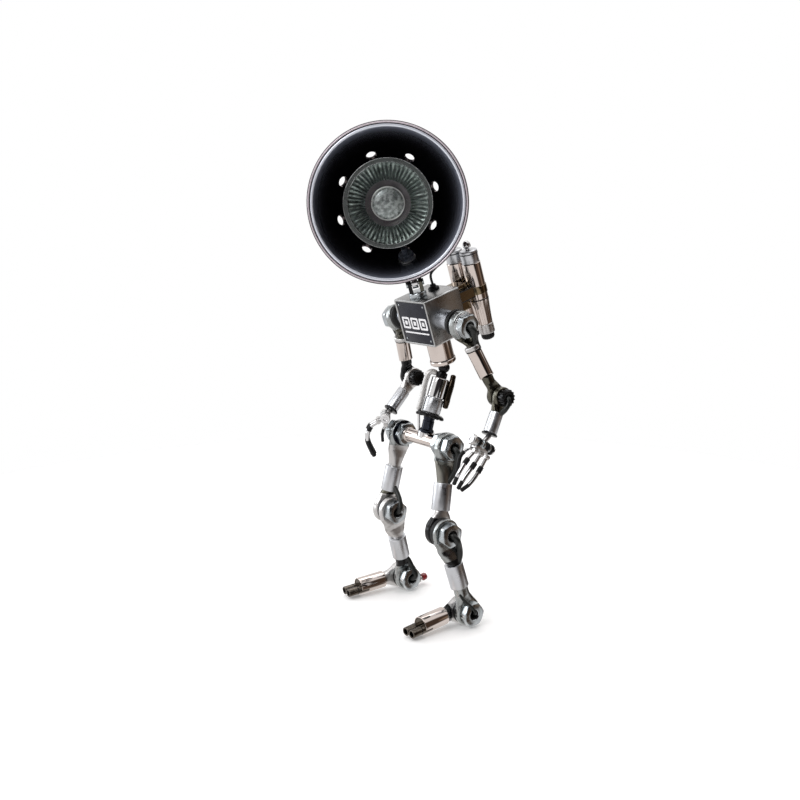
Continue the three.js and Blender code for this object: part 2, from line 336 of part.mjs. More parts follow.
  // forearm: eye, neck, satin sleeve and wrist washer
  const kf = f.dot(eAxis), wf = f.clone().addScaledVector(eAxis, -kf), lf = kf / wf.length(), FL = f.length();
  const z0 = FL - (side === 'left' ? 13.0 : 15.0);
  const fs = solid(leaned(turned([[0, z0], [3.6, z0], [3.9, z0 + 0.3], [3.9, FL - 1.2], [3.6, FL - 0.9], [2.4, FL - 0.9], [2.4, FL - 0.6], [4.3, FL - 0.5], [4.6, FL - 0.1], [4.5, FL + 0.4], [0, FL + 0.7]], 20), lf));
  add('forearm_' + side, 'forearm_' + side, rodEnd({ R: ELBOW_EYE_R, w: 1.9, bw: 2.1, bore: 2.0, rows: [[1.5, 5.0, 1.8], [4.6, 4.9, 1.8], [7.0, 4.4, 2.3], [9.6, 3.7, 2.8], [FL - 10.5, 3.3, 3.0]], lean: lf, extra: fs, ringSeg: 20, seg: 14 }), SATIN, frameX(elbow, eAxis, wf));
  // hand: block of links with a stem up into the wrist
  const H = HAND[side], fdir = f.clone().normalize();
  const al = H.along.clone();
  const PM = frameX(H.palm, al, fdir.clone().negate());    // x along the block, z towards the wrist
  const stemTop = elbow.clone().addScaledVector(fdir, FL + 1.2), local = stemTop.clone().applyMatrix4(PM.clone().invert());
  const lk = [[0, -8.7], [2.9, -8.7]];
  for (let i = 0; i < 5; i++) { const c = (i - 2) * 3.5; lk.push([3.1, c - 1.2], [3.1, c + 1.2]); if (i < 4) lk.push([2.5, c + 1.75]); }
  lk.push([2.9, 8.7], [0, 8.7]);
  let palm = solid(aboutX(turned(lk, 16)));
  palm = palm.add(solid(box(9.6, 4.2, 2.0, 0, 0, -2.3)));
  const sm = frameAt(V(0, 0, 0), local, V(1, 0, 0));
  palm = palm.add(solid(rod(1.5, 0, local.length(), 12).applyMatrix4(sm)));
  add('hand_' + side, 'palm_' + side, palm, ZINC, PM);
  for (const [n, d] of Object.entries(H.digits)) {
    const pts = d.pts.map((q) => q.clone());
    // knuckle centre just clear of the block
    { const rel = pts[0].clone().sub(H.palm), ax = al.clone().multiplyScalar(rel.dot(al)), rr = rel.sub(ax).setLength(4.95); pts[0].copy(H.palm).add(ax).add(rr); d.knuckle = pts[0].clone(); }
    let s = solid(bent(pts, d.r, 9, 7));
    s = s.transform([...new THREE.Matrix4().setPosition(pts[0].clone().negate()).elements]);
    add('digit_' + n + '_' + side, n + '_' + side, s, n === 'thumb' ? GUN : CHROME, new THREE.Matrix4().setPosition(pts[0]));
  }
}

// ---------------------------------------------------------------------- head
const ha = HEAD_AZ * D, he = HEAD_EL * D;
const HA = V(Math.cos(he) * Math.sin(ha), -Math.cos(he) * Math.cos(ha), Math.sin(he));   // where the lamp points
const HB = V(Math.cos(ha), Math.sin(ha), 0);
const HU = HA.clone().cross(HB).normalize();
// head frame: z = beam, x = sideways, y = up
const HEAD = new THREE.Matrix4().makeBasis(HB, HU, HA).setPosition(HEAD_C);
const NECK0 = tpt(0, NECK_F, TORSO_H / 2), NECK1 = NECK0.clone().addScaledVector(TU, NECK_UP);
const TILT = HB.clone().addScaledVector(TU, -HB.dot(TU)).normalize();
{
  const Ri = RIM_R - 2.6, n = 5, outer = [], inner = [];
  const prof = (R, Dd, d) => R * Math.sqrt(Math.max(0, 1 - (d / Dd) ** 2));
  const REAR = 17.2;                                        // mouth of the rear housing
  const dEnd = SHADE_DEPTH * Math.sqrt(1 - (REAR / (Ri + SHADE_T)) ** 2);
  for (let i = 0; i <= n; i++) { const d = 2.5 + (dEnd - 2.5) * Math.sin(i / n * Math.PI / 2); outer.push([prof(Ri + SHADE_T, SHADE_DEPTH, d), -d]); inner.push([prof(Ri, SHADE_DEPTH - SHADE_T, Math.min(d, SHADE_DEPTH - SHADE_T - 3)), -d]); }
  inner[n][0] = REAR - 1.4; inner[n][1] = -dEnd;
  const rim = [[RIM_R - 2.6, -0.6], [RIM_R - 1.2, 0.0], [RIM_R, -0.9], [RIM_R - 0.2, -2.1]];
  const pts = [...inner.slice().reverse(), ...rim, ...outer];
  pts.push([inner[n][0], inner[n][1]]);
  let shade = solid(turned(pts, 56));
  for (let i = 0; i < VENTS; i++) {
    const a = (19.5 + 45 * i) * D, d = 36.0, r = prof(Ri, SHADE_DEPTH, d);
    const nrm = V(r / Ri ** 2, 0, -(-d) / SHADE_DEPTH ** 2).normalize();
    const dir = V(nrm.x * Math.cos(a), nrm.x * Math.sin(a), -nrm.z), p = V(r * Math.cos(a), r * Math.sin(a), -d);
    shade = shade.subtract(solid(rod(VENT_R, -5, 5, 13).applyMatrix4(frameAt(p, dir, V(0, 0, 1)))));
  }
  // fixing hole for the neck bolt
  const BD = 30.0, BA = Math.atan2(-30.6, 10.6), br = prof(Ri + SHADE_T, SHADE_DEPTH, BD);
  const bn = V(br / Ri ** 2, 0, BD / SHADE_DEPTH ** 2).normalize();
  const bdir = V(bn.x * Math.cos(BA), bn.x * Math.sin(BA), -bn.z), bp = V(br * Math.cos(BA), br * Math.sin(BA), -BD);
  const BM = frameAt(bp, bdir, V(0, 0, 1));
  shade = shade.subtract(solid(rod(2.3, -5, 5, 14).applyMatrix4(BM)));
  add('head', 'lamp_shade', shade, SHADEM, HEAD);
  // nut and stud inside the shade
  const stud = hex(8.0, -5.6, -2.1).add(solid(rod(1.8, -9.0, 3.2, 12)));
  // bracket: pad under the shade, bent bar, tongue at the tilt pin
  const inv = HEAD.clone().invert();
  const n1 = NECK1.clone().applyMatrix4(inv), tax = TILT.clone().transformDirection(inv);
  const q = bp.clone().addScaledVector(bdir, 2.0);
  const rad = (d, r, a) => V(r * Math.cos(a), r * Math.sin(a), -d);
  const a1 = Math.atan2(n1.y, n1.x), am = (a1 + BA) / 2;
  const up = V(0, 0, 0).subVectors(rad(-n1.z + 6, Math.hypot(n1.x, n1.y) + 0.8, a1 * 0.75 + BA * 0.25), n1);
  const bar = bent([n1, n1.clone().add(up.multiplyScalar(0.6)), rad(20.5, 46.2, am), rad(27.5, 42.3, BA * 0.85 + am * 0.15), q.clone().addScaledVector(bdir, 1.5)], 1.75, 9, 7);
  let brk = solid(bar).add(solid(turned([[0, 0.3], [4.6, 0.3], [4.8, 0.6], [4.8, 2.0], [3.6, 4.6], [0, 4.6]], 18).applyMatrix4(BM)));
  const TM = frameAt(n1, tax, V(0, 1, 0));
  brk = brk.add(solid(rod(3.0, -1.75, 1.75, 18).applyMatrix4(TM)));
  brk = brk.subtract(solid(rod(1.5, -6, 6, 14).applyMatrix4(TM)));
  brk = largest(brk).add(stud.transform([...BM.elements]));
  add('head', 'head_bracket', brk, CHROME, HEAD);
  // rear housing with the lamp holder, and the reflector lamp
  const rz = -dEnd;
  add('head', 'rear_housing', turned([[REAR + 0.6, rz - 0.3], [REAR + 0.6, rz - 2.0], [REAR - 0.6, rz - 2.6], [REAR - 0.6, rz - 21.0], [REAR - 2.4, rz - 23.6], [10.0, rz - 25.2], [2.2, rz - 25.6], [2.2, rz - 24.0], [9.6, rz - 23.6], [REAR - 3.2, rz - 22.2], [REAR - 1.9, rz - 20.4], [REAR - 1.9, rz - 0.3], [REAR + 0.6, rz - 0.3]], 30), SATIN, HEAD);
  add('head', 'lamp_holder', turned([[0, rz - 20.0], [9.0, rz - 20.0], [12.4, rz - 18.0], [12.4, rz - 6.6], [0, rz - 6.6]], 24), CERAMIC, HEAD);
  const FR = 8.0;                                           // lens behind the rim plane
  add('head', 'reflector_lamp', turned([[0, -FR + 0.4], [12, -FR + 0.1], [22.8, -FR - 0.5], [24.0, -FR - 1.0], [25.9, -FR - 1.0], [26.1, -FR - 1.6], [26.1, -FR - 3.0], [25.0, -FR - 4.2], [24.2, -FR - 8.0], [21.5, -FR - 15.0], [16.0, -FR - 22.5], [10.6, -FR - 27.5], [9.8, -FR - 29.5], [9.8, rz - 6.3], [0, rz - 6.3]], 32), GLASS, HEAD);
  // head cable: from the grommet up behind the neck into the underside of the rear housing
  const g0 = tpt(0, -6.5, TORSO_H / 2 + 2.9), gd = tpt(0, -6.9, TORSO_H / 2 + 9);
  const into = V(3.0, -(REAR + 0.2), rz - 12).applyMatrix4(HEAD);
  const pts2 = [g0, gd, V(2.6, 16.6, 211.0), V(-2.5, 20.0, 219.0), V(-14, 22.0, 223.5), into.clone().add(V(7, 3.2, -4.6)), into.clone().add(V(0.6, 0.2, -2.2)), into];
  add('neck', 'head_cable', bent(pts2, 0.75, 18, 8), RUBBER, null);
}
// ---------------------------------------------------------------------- neck
{
  // yoke: round collar, two cheeks and the tilt pin; turns on the top of the housing
  const M = frameAt(NECK0, TU, TILT);
  let y = solid(turned([[0, 0.3], [4.8, 0.3], [5.2, 0.7], [5.2, 2.7], [4.7, 3.3], [0, 3.3]], 24));
  for (const s of [1, -1]) {
    const ck = solid(box(2.2, 5.6, NECK_UP - 3.0, s * 3.25, 0, 3.0 + (NECK_UP - 3.0) / 2)).add(solid(aboutX(rod(2.8, -1.1, 1.1, 16)).translate(s * 3.25, 0, NECK_UP)));
    y = y.add(ck);
  }
  y = y.add(solid(aboutX(rod(1.15, -4.0, 4.0, 12)).translate(0, 0, NECK_UP)));
  y = y.add(solid(aboutX(rod(1.9, 4.0, 5.2, 12)).translate(0, 0, NECK_UP))).add(solid(aboutX(rod(1.9, -5.2, -4.0, 12)).translate(0, 0, NECK_UP)));
  y = y.add(solid(rod(2.2, -2.2, 1.0, 14)));
  add('neck', 'neck_yoke', y, ZINC, M);
}

// ------------------------------------------------------------- final placement
root.updateMatrixWorld(true);
const bb = new THREE.Box3();
root.traverse((o) => { if (o.isMesh) { const g = o.geometry.clone().applyMatrix4(o.matrixWorld); g.computeBoundingBox(); bb.union(g.boundingBox); } });
root.position.set(-(bb.min.x + bb.max.x) / 2, -(bb.min.y + bb.max.y) / 2, -bb.min.z);
root.updateMatrixWorld(true);
root.userData = { shift: root.position.toArray(), LEG, SHOULDER, OUTER, ARM, HAND, WAIST, NECK0, NECK1, TILT, TU, TL, BTN, BTN_DIR, HEAD: HEAD.elements, TORSO: TORSO.elements, SPINE: SPINE.elements };
export default root;
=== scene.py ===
# Visual model of the posable metal figure lamp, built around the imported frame.
# Working unit below is the millimetre in the figure's own layout frame; every mesh is written out in metres.
import json
import math
import bpy
import numpy as np
from mathutils import Matrix, Vector

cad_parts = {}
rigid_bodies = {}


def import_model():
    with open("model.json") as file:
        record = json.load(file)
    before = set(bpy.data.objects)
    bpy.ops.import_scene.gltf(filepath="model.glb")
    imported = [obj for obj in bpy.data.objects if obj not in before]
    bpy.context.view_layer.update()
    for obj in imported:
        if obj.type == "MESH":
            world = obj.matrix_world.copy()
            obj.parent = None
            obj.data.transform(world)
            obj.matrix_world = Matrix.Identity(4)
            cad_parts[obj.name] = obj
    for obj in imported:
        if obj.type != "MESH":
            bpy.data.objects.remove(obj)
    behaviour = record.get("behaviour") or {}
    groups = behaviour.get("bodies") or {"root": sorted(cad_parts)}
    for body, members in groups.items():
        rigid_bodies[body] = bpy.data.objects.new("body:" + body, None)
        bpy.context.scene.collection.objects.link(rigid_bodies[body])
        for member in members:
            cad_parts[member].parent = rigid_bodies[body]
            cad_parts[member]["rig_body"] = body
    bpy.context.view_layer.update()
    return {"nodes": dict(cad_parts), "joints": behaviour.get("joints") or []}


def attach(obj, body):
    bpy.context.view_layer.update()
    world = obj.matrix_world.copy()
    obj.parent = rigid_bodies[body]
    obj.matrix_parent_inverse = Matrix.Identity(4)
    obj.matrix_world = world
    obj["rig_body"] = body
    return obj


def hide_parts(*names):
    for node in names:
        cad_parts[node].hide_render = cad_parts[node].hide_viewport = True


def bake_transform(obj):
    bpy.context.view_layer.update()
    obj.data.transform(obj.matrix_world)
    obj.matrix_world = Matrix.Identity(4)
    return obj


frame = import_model()

# ------------------------------------------------------------------ layout
ANK = next(j for j in frame["joints"] if j["name"] == "ankle_left")["pos_m"]
SHIFT = Vector((ANK[0] * 1000 - 38.4, ANK[1] * 1000 - 9.3, ANK[2] * 1000 - 8.0))
D = math.pi / 180
V = lambda x, y, z: Vector((x, y, z))
AX = V(1, 0, 0)
PITCH = 6.0
LEG = {"left": dict(hip=V(21.5, 6.9, 104.6), knee=V(28.3, -4.1, 57.0), ankle=V(38.4, 9.3, 8.0), toe=4.7),
       "right": dict(hip=V(-26.0, 6.9, 104.6), knee=V(-29.4, -2.7, 56.4), ankle=V(-30.3, 13.1, 8.0), toe=-3.5)}
TC = V(2.9, 9.0, 180.2); TW, TH, TD = 29.4, 28.0, 26.7
TPI, TYA = 18 * D, 2.6 * D
TL = V(math.cos(TYA), math.sin(TYA), 0)
F0 = V(math.sin(TYA), -math.cos(TYA), 0)
TF = F0 * math.cos(TPI) + V(0, 0, -math.sin(TPI))
TU = F0 * math.sin(TPI) + V(0, 0, math.cos(TPI))
ARM = {"left": dict(elbow=V(49.0, 25.3, 135.9), wrist=V(50.5, 15.2, 115.7)),
       "right": dict(elbow=V(-32.4, 20.8, 137.6), wrist=V(-32.1, 3.3, 118.3))}
SPB, SPD = V(1.0, 9.5, 119.5), V(0.043, 0.317, 0.9475).normalized()
HC, HAZ, HEL = V(3.6, -22.0, 245.2), 56.4 * D, -1.15 * D
NECK_F, NECK_UP = 5.8, 8.2


def basis(x, y, z, o):
    return Matrix(((x.x, y.x, z.x, o.x), (x.y, y.y, z.y, o.y), (x.z, y.z, z.z, o.z), (0, 0, 0, 1)))


def frame_at(o, z, xh):
    z = z.normalized(); x = (xh - z * xh.dot(z)).normalized()
    return basis(x, z.cross(x), z, o)


def frame_x(o, x, zh):
    x = x.normalized(); z = (zh - x * zh.dot(x)).normalized()
    return basis(x, z.cross(x), z, o)


TM = basis(TL, -TF, TU, TC)                     # torso: x left, y back, z up
SM = frame_at(SPB, SPD, AX)                     # spine
tpt = lambda s, f, u: TC + TL * s + TF * f + TU * u
HA = V(math.cos(HEL) * math.sin(HAZ), -math.cos(HEL) * math.cos(HAZ), math.sin(HEL))
HB = V(math.cos(HAZ), math.sin(HAZ), 0)
HU = HA.cross(HB).normalized()
HM = basis(HB, HU, HA, HC)                      # head: z along the beam
RX = Matrix.Rotation(math.pi / 2, 4, "Y")       # local Z -> local X
MV = lambda x, y, z: Matrix.Translation((x, y, z))

# ------------------------------------------------------------------ materials
MATS = {}


def material(name, base, metal, rough, var=0.06, rvar=0.10, bump=0.02, scale=(0.6, 0.6, 0.6), fine=(3, 3, 3),
             coat=0.0, coat_rough=0.05, spec=0.5, tint=None, aniso=0.0, wear=0.0, wear_col=(0.6, 0.58, 0.55), alpha=1.0, trans=0.0, ior=1.45, second=None):
    """Procedural finish: a slow stain, a fine grain that follows the way the piece was made, and bright worn edges."""
    m = bpy.data.materials.new(name); m.use_nodes = True
    nt = m.node_tree; n, l = nt.nodes, nt.links; n.clear()
    out = n.new("ShaderNodeOutputMaterial"); p = n.new("ShaderNodeBsdfPrincipled")
    l.new(p.outputs[0], out.inputs[0])
    at = n.new("ShaderNodeAttribute"); at.attribute_name = "lc"
    def noise(sc, det, rough_=0.55, off=0.0):
        mp = n.new("ShaderNodeMapping"); mp.inputs["Scale"].default_value = sc; mp.inputs["Location"].default_value = (off, off * 0.7, off * 1.3)
        l.new(at.outputs["Vector"], mp.inputs["Vector"])
        t = n.new("ShaderNodeTexNoise"); t.inputs["Scale"].default_value = 1.0; t.inputs["Detail"].default_value = det; t.inputs["Roughness"].default_value = rough_
        l.new(mp.outputs[0], t.inputs["Vector"]); return t.outputs["Fac"]
    def ramp(src, a, b, lo, hi):
        r = n.new("ShaderNodeMapRange"); r.inputs["From Min"].default_value = a; r.inputs["From Max"].default_value = b
        r.inputs["To Min"].default_value = lo; r.inputs["To Max"].default_value = hi; l.new(src, r.inputs["Value"]); return r.outputs[0]
    slow = noise(tuple(s * 0.35 for s in scale), 3.0)
    grain = noise(fine, 4.0, 0.65, 7.0)
    # colour
    mix = n.new("ShaderNodeMix"); mix.data_type = "RGBA"
    a = second if second else tuple(max(0, c * (1 - var)) for c in base)
    b = tuple(min(1, c * (1 + var)) for c in base)
    mix.inputs["A"].default_value = (*a, 1); mix.inputs["B"].default_value = (*b, 1)
    l.new(ramp(slow, 0.3, 0.7, 0, 1), mix.inputs["Factor"])
    col = mix.outputs["Result"]
    g = n.new("ShaderNodeMix"); g.data_type = "RGBA"; g.blend_type = "MULTIPLY"
    gg = n.new("ShaderNodeCombineColor"); gv = ramp(grain, 0.3, 0.7, 1 - var, 1.0)
    for i in range(3): l.new(gv, gg.inputs[i])
    g.inputs["Factor"].default_value = 1.0; l.new(col, g.inputs["A"]); l.new(gg.outputs[0], g.inputs["B"]); col = g.outputs["Result"]
    if wear > 0:
        ge = n.new("ShaderNodeNewGeometry")
        w = ramp(ge.outputs["Pointiness"], 0.53, 0.60, 0, wear)
        wm = n.new("ShaderNodeMix"); wm.data_type = "RGBA"; l.new(w, wm.inputs["Factor"]); l.new(col, wm.inputs["A"]); wm.inputs["B"].default_value = (*wear_col, 1); col = wm.outputs["Result"]
    l.new(col, p.inputs["Base Color"])
    p.inputs["Metallic"].default_value = metal
    rr = n.new("ShaderNodeMath"); rr.operation = "ADD"
    l.new(ramp(slow, 0.3, 0.7, rough * (1 - rvar * 2), rough * (1 + rvar * 2)), rr.inputs[0]); l.new(ramp(grain, 0.3, 0.7, -rough * rvar, rough * rvar), rr.inputs[1])
    l.new(rr.outputs[0], p.inputs["Roughness"])
    if bump > 0:
        bp = n.new("ShaderNodeBump"); bp.inputs["Strength"].default_value = bump; bp.inputs["Distance"].default_value = 0.0002
        l.new(grain, bp.inputs["Height"]); l.new(bp.outputs[0], p.inputs["Normal"])
    p.inputs["Coat Weight"].default_value = coat; p.inputs["Coat Roughness"].default_value = coat_rough
    p.inputs["Specular IOR Level"].default_value = spec; p.inputs["IOR"].default_value = ior
    p.inputs["Anisotropic"].default_value = aniso
    if tint: p.inputs["Specular Tint"].default_value = (*tint, 1)
    if alpha < 1: p.inputs["Alpha"].default_value = alpha
    p.inputs["Transmission Weight"].default_value = trans
    m.diffuse_color = (*base, 1)
    MATS[name] = m
    return m


TURN = (0.25, 0.25, 5.0)      # lathe marks run round the axis
material("chrome", (0.70, 0.625, 0.585), 1, 0.075, 0.05, 0.25, 0.012, (0.4, 0.4, 0.4), TURN)
material("chrome_pure", (0.72, 0.72, 0.73), 1, 0.06, 0.04, 0.25, 0.01, (0.4, 0.4, 0.4), TURN)
material("zinc", (0.41, 0.43, 0.43), 1, 0.27, 0.14, 0.18, 0.12, (0.9, 0.9, 0.9), (2.6, 2.6, 2.6), wear=0.35)
material("nut", (0.50, 0.54, 0.565), 1, 0.19, 0.14, 0.2, 0.07, (0.9, 0.9, 0.9), (1.2, 1.2, 6.0), wear=0.3)
material("satin", (0.655, 0.67, 0.70), 1, 0.33, 0.05, 0.12, 0.10, (0.5, 0.5, 0.5), (0.3, 0.3, 7.0), aniso=0.3)
material("satin_light", (0.66, 0.65, 0.645), 1, 0.36, 0.06, 0.12, 0.07, (0.7, 0.7, 0.7), (1.5, 1.5, 1.5))
material("brushed", (0.44, 0.45, 0.46), 1, 0.30, 0.10, 0.12, 0.12, (0.3, 0.3, 0.3), (0.25, 0.25, 9.0))
material("boss", (0.50, 0.525, 0.575), 1, 0.24, 0.08, 0.12, 0.10, (0.3, 0.3, 0.3), (0.25, 0.25, 9.0))
material("brushed_x", (0.47, 0.475, 0.475), 1, 0.30, 0.12, 0.12, 0.12, (0.3, 0.3, 0.3), (9.0, 0.25, 0.25))
material("olive", (0.135, 0.130, 0.105), 1, 0.24, 0.30, 0.2, 0.14, (0.8, 0.8, 0.8), (2.4, 2.4, 2.4), wear=0.3, wear_col=(0.45, 0.43, 0.38))
material("olive_grey", (0.30, 0.295, 0.265), 1, 0.36, 0.12, 0.12, 0.12, (0.6, 0.6, 0.6), (2.0, 2.0, 2.0), wear=0.2)
material("black_metal", (0.014, 0.014, 0.015), 0.6, 0.22, 0.3, 0.2, 0.08, (0.8, 0.8, 0.8), (2, 2, 2), wear=0.12, wear_col=(0.3, 0.3, 0.3))
material("blue_black", (0.030, 0.033, 0.045), 1.0, 0.16, 0.3, 0.2, 0.04, (0.8, 0.8, 0.8), (2, 2, 2), wear=0.2, wear_col=(0.3, 0.3, 0.33))
material("rubber", (0.010, 0.010, 0.011), 0, 0.45, 0.3, 0.1, 0.15, (0.8, 0.8, 0.8), (3, 3, 3), spec=0.3)
material("cable", (0.012, 0.014, 0.013), 0, 0.34, 0.3, 0.1, 0.08, (0.6, 0.6, 0.6), (1.5, 1.5, 1.5), spec=0.5)
material("gun", (0.15, 0.13, 0.11), 1, 0.20, 0.25, 0.2, 0.08, (0.7, 0.7, 0.7), (0.4, 0.4, 5.0), wear=0.35, wear_col=(0.6, 0.56, 0.5))
material("bronze", (0.235, 0.185, 0.115), 1, 0.16, 0.3, 0.2, 0.05, (0.25, 0.25, 0.25), (0.6, 0.6, 3.0), wear=0.3, wear_col=(0.75, 0.66, 0.55))
material("hose", (0.66, 0.65, 0.64), 0.5, 0.34, 0.14, 0.15, 0.10, (0.6, 0.6, 0.6), (2, 2, 2))
material("hose_dark", (0.060, 0.045, 0.033), 1.0, 0.20, 0.25, 0.2, 0.08, (0.6, 0.6, 0.6), (2, 2, 2))
material("plate", (0.012, 0.013, 0.022), 0.0, 0.30, 0.15, 0.12, 0.05, (0.4, 0.4, 0.4), (4, 4, 4), spec=0.35)
material("print", (0.80, 0.80, 0.82), 0.0, 0.40, 0.08, 0.1, 0.10, (0.8, 0.8, 0.8), (3, 3, 3))
material("shade_in", (0.0025, 0.0025, 0.0032), 0.0, 0.16, 0.3, 0.2, 0.02, (0.1, 0.1, 0.1), (0.5, 0.5, 1.5), coat=0.2, coat_rough=0.08, tint=(0.75, 0.83, 1.0))
material("shade_out", (0.10, 0.085, 0.085), 1.0, 0.10, 0.15, 0.25, 0.02, (0.06, 0.06, 0.06), (0.15, 0.15, 2.0))
# rim of the rolled chrome lip: these colours are painted reflections, a dark edge, a pale pink band and a black line,
# with a painted blue-white highlight on the bead
material("rim_edge", (0.045, 0.036, 0.042), 1.0, 0.16, 0.15, 0.2, 0.01, (0.1, 0.1, 0.1), (0.3, 0.3, 3.0))
material("rim_band", (0.62, 0.555, 0.60), 0.35, 0.15, 0.06, 0.2, 0.01, (0.1, 0.1, 0.1), (0.3, 0.3, 3.0))
material("rim_line", (0.012, 0.010, 0.012), 0.2, 0.25, 0.2, 0.1, 0.02, (0.1, 0.1, 0.1), (0.3, 0.3, 3.0))
material("rim_bead", (0.80, 0.84, 0.93), 0.45, 0.14, 0.04, 0.2, 0.01, (0.1, 0.1, 0.1), (0.3, 0.3, 3.0))
# mirror reflector, made partly diffuse so that the painted flute glints show in its colour
material("reflector", (0.62, 0.70, 0.67), 0.45, 0.20, 0.25, 0.2, 0.05, (0.35, 0.35, 0.35), (0.9, 0.9, 0.9))
material("lamp_dark", (0.090, 0.078, 0.085), 0.0, 0.45, 0.15, 0.15, 0.05, (0.4, 0.4, 0.4), (2, 2, 2), spec=0.2)
material("lamp_outer", (0.052, 0.060, 0.058), 0.0, 0.30, 0.2, 0.15, 0.02, (0.4, 0.4, 0.4), (2, 2, 2), spec=0.6)
material("capsule", (0.44, 0.45, 0.45), 0.35, 0.26, 0.3, 0.25, 0.25, (1.3, 1.3, 1.3), (1.9, 1.9, 1.9), second=(0.14, 0.15, 0.155))
material("glass", (0.96, 1.0, 0.98), 0.0, 0.02, 0.02, 0.3, 0.004, (0.2, 0.2, 0.2), (0.6, 0.6, 0.6), trans=1.0, ior=1.07)
material("ceramic", (0.78, 0.76, 0.71), 0.0, 0.45, 0.06, 0.1, 0.10, (0.4, 0.4, 0.4), (3, 3, 3))
material("red", (0.26, 0.006, 0.010), 0.0, 0.28, 0.15, 0.15, 0.03, (0.6, 0.6, 0.6), (3, 3, 3), coat=0.6)
material("nut_dark", (0.13, 0.15, 0.185), 0.5, 0.30, 0.2, 0.2, 0.05, (0.8, 0.8, 0.8), (2, 2, 2), wear=0.3, wear_col=(0.35, 0.38, 0.44))
material("stub", (0.78, 0.70, 0.68), 0.9, 0.25, 0.06, 0.1, 0.05, (0.6, 0.6, 0.6), (3, 3, 3))


def lc_nodes(m):
    nt = m.node_tree; at = next(n for n in nt.nodes if n.type == "ATTRIBUTE"); sx = nt.nodes.new("ShaderNodeSeparateXYZ"); nt.links.new(at.outputs["Vector"], sx.inputs[0])
    return nt, nt.nodes, nt.links, sx, next(n for n in nt.nodes if n.type == "BSDF_PRINCIPLED")


def calc(nt, op, a, b=None):
    m = nt.nodes.new("ShaderNodeMath"); m.operation = op
    for i, v in enumerate((a, b)):
        if v is None: continue
        if isinstance(v, (int, float)): m.inputs[i].default_value = v
        else: nt.links.new(v, m.inputs[i])
    return m.outputs[0]


def add_painted_rim_reflection():
    """Painted reflection: the bowl's black lacquer is coloured a soft blue grey in the last millimetres before the rim,
    standing in for the bright room reflected at a grazing angle.
    """
    nt, n, l, sx, p = lc_nodes(MATS["shade_in"]); old = p.inputs["Base Color"].links[0].from_socket
    r = n.new("ShaderNodeMapRange"); r.inputs["From Min"].default_value = -36.0; r.inputs["From Max"].default_value = -1.0; l.new(sx.outputs[2], r.inputs["Value"])
    f = calc(nt, "POWER", r.outputs[0], 4.2)
    mx = n.new("ShaderNodeMix"); mx.data_type = "RGBA"; l.new(f, mx.inputs["Factor"]); l.new(old, mx.inputs["A"]); mx.inputs["B"].default_value = (0.62, 0.67, 0.84, 1); l.new(mx.outputs["Result"], p.inputs["Base Color"])


def add_painted_flute_glints():
    """Painted reflection on the mirror flutes: even bright ribs round the turn with streaks of their own, fading out at
    both ends, and a painted white glint added on the brightest ribs.
    """
    nt, n, l, sx, p = lc_nodes(MATS["reflector"]); old = p.inputs["Base Color"].links[0].from_socket
    x, y = sx.outputs[0], sx.outputs[1]
    a = calc(nt, "ARCTAN2", y, x); rad = calc(nt, "SQRT", calc(nt, "ADD", calc(nt, "MULTIPLY", x, x), calc(nt, "MULTIPLY", y, y)))
    wave = calc(nt, "MULTIPLY_ADD" if False else "ADD", calc(nt, "MULTIPLY", calc(nt, "SINE", calc(nt, "MULTIPLY", a, 54.0)), 0.5), 0.5)
    cv = n.new("ShaderNodeCombineXYZ"); l.new(calc(nt, "MULTIPLY", calc(nt, "COSINE", a), 9.0), cv.inputs[0]); l.new(calc(nt, "MULTIPLY", calc(nt, "SINE", a), 9.0), cv.inputs[1]); l.new(calc(nt, "MULTIPLY", rad, 0.35), cv.inputs[2])
    t = n.new("ShaderNodeTexNoise"); t.inputs["Scale"].default_value = 1.0; t.inputs["Detail"].default_value = 3.0; l.new(cv.outputs[0], t.inputs["Vector"])
    st = n.new("ShaderNodeMapRange"); st.inputs["From Min"].default_value = 0.38; st.inputs["From Max"].default_value = 0.66; l.new(t.outputs["Fac"], st.inputs["Value"])
    ed = n.new("ShaderNodeMapRange"); ed.inputs["From Min"].default_value = 14.6; ed.inputs["From Max"].default_value = 17.6; l.new(rad, ed.inputs["Value"])
    eo = n.new("ShaderNodeMapRange"); eo.inputs["From Min"].default_value = 23.4; eo.inputs["From Max"].default_value = 21.0; l.new(rad, eo.inputs["Value"])
    painted_glint = calc(nt, "MULTIPLY", calc(nt, "MULTIPLY", calc(nt, "POWER", wave, 1.6), calc(nt, "ADD", calc(nt, "MULTIPLY", st.outputs[0], 0.85), 0.22)), calc(nt, "MULTIPLY", ed.outputs[0], calc(nt, "ADD", calc(nt, "MULTIPLY", eo.outputs[0], 0.8), 0.2)))
    mx = n.new("ShaderNodeMix"); mx.data_type = "RGBA"; l.new(painted_glint, mx.inputs["Factor"]); mx.inputs["A"].default_value = (0.070, 0.082, 0.079, 1); l.new(old, mx.inputs["B"])
    b2 = n.new("ShaderNodeMix"); b2.data_type = "RGBA"; b2.blend_type = "ADD"; l.new(calc(nt, "POWER", painted_glint, 4.0), b2.inputs["Factor"]); l.new(mx.outputs["Result"], b2.inputs["A"]); b2.inputs["B"].default_value = (0.5, 0.5, 0.5, 1)
    l.new(b2.outputs["Result"], p.inputs["Base Color"])


add_painted_rim_reflection(); add_painted_flute_glints()


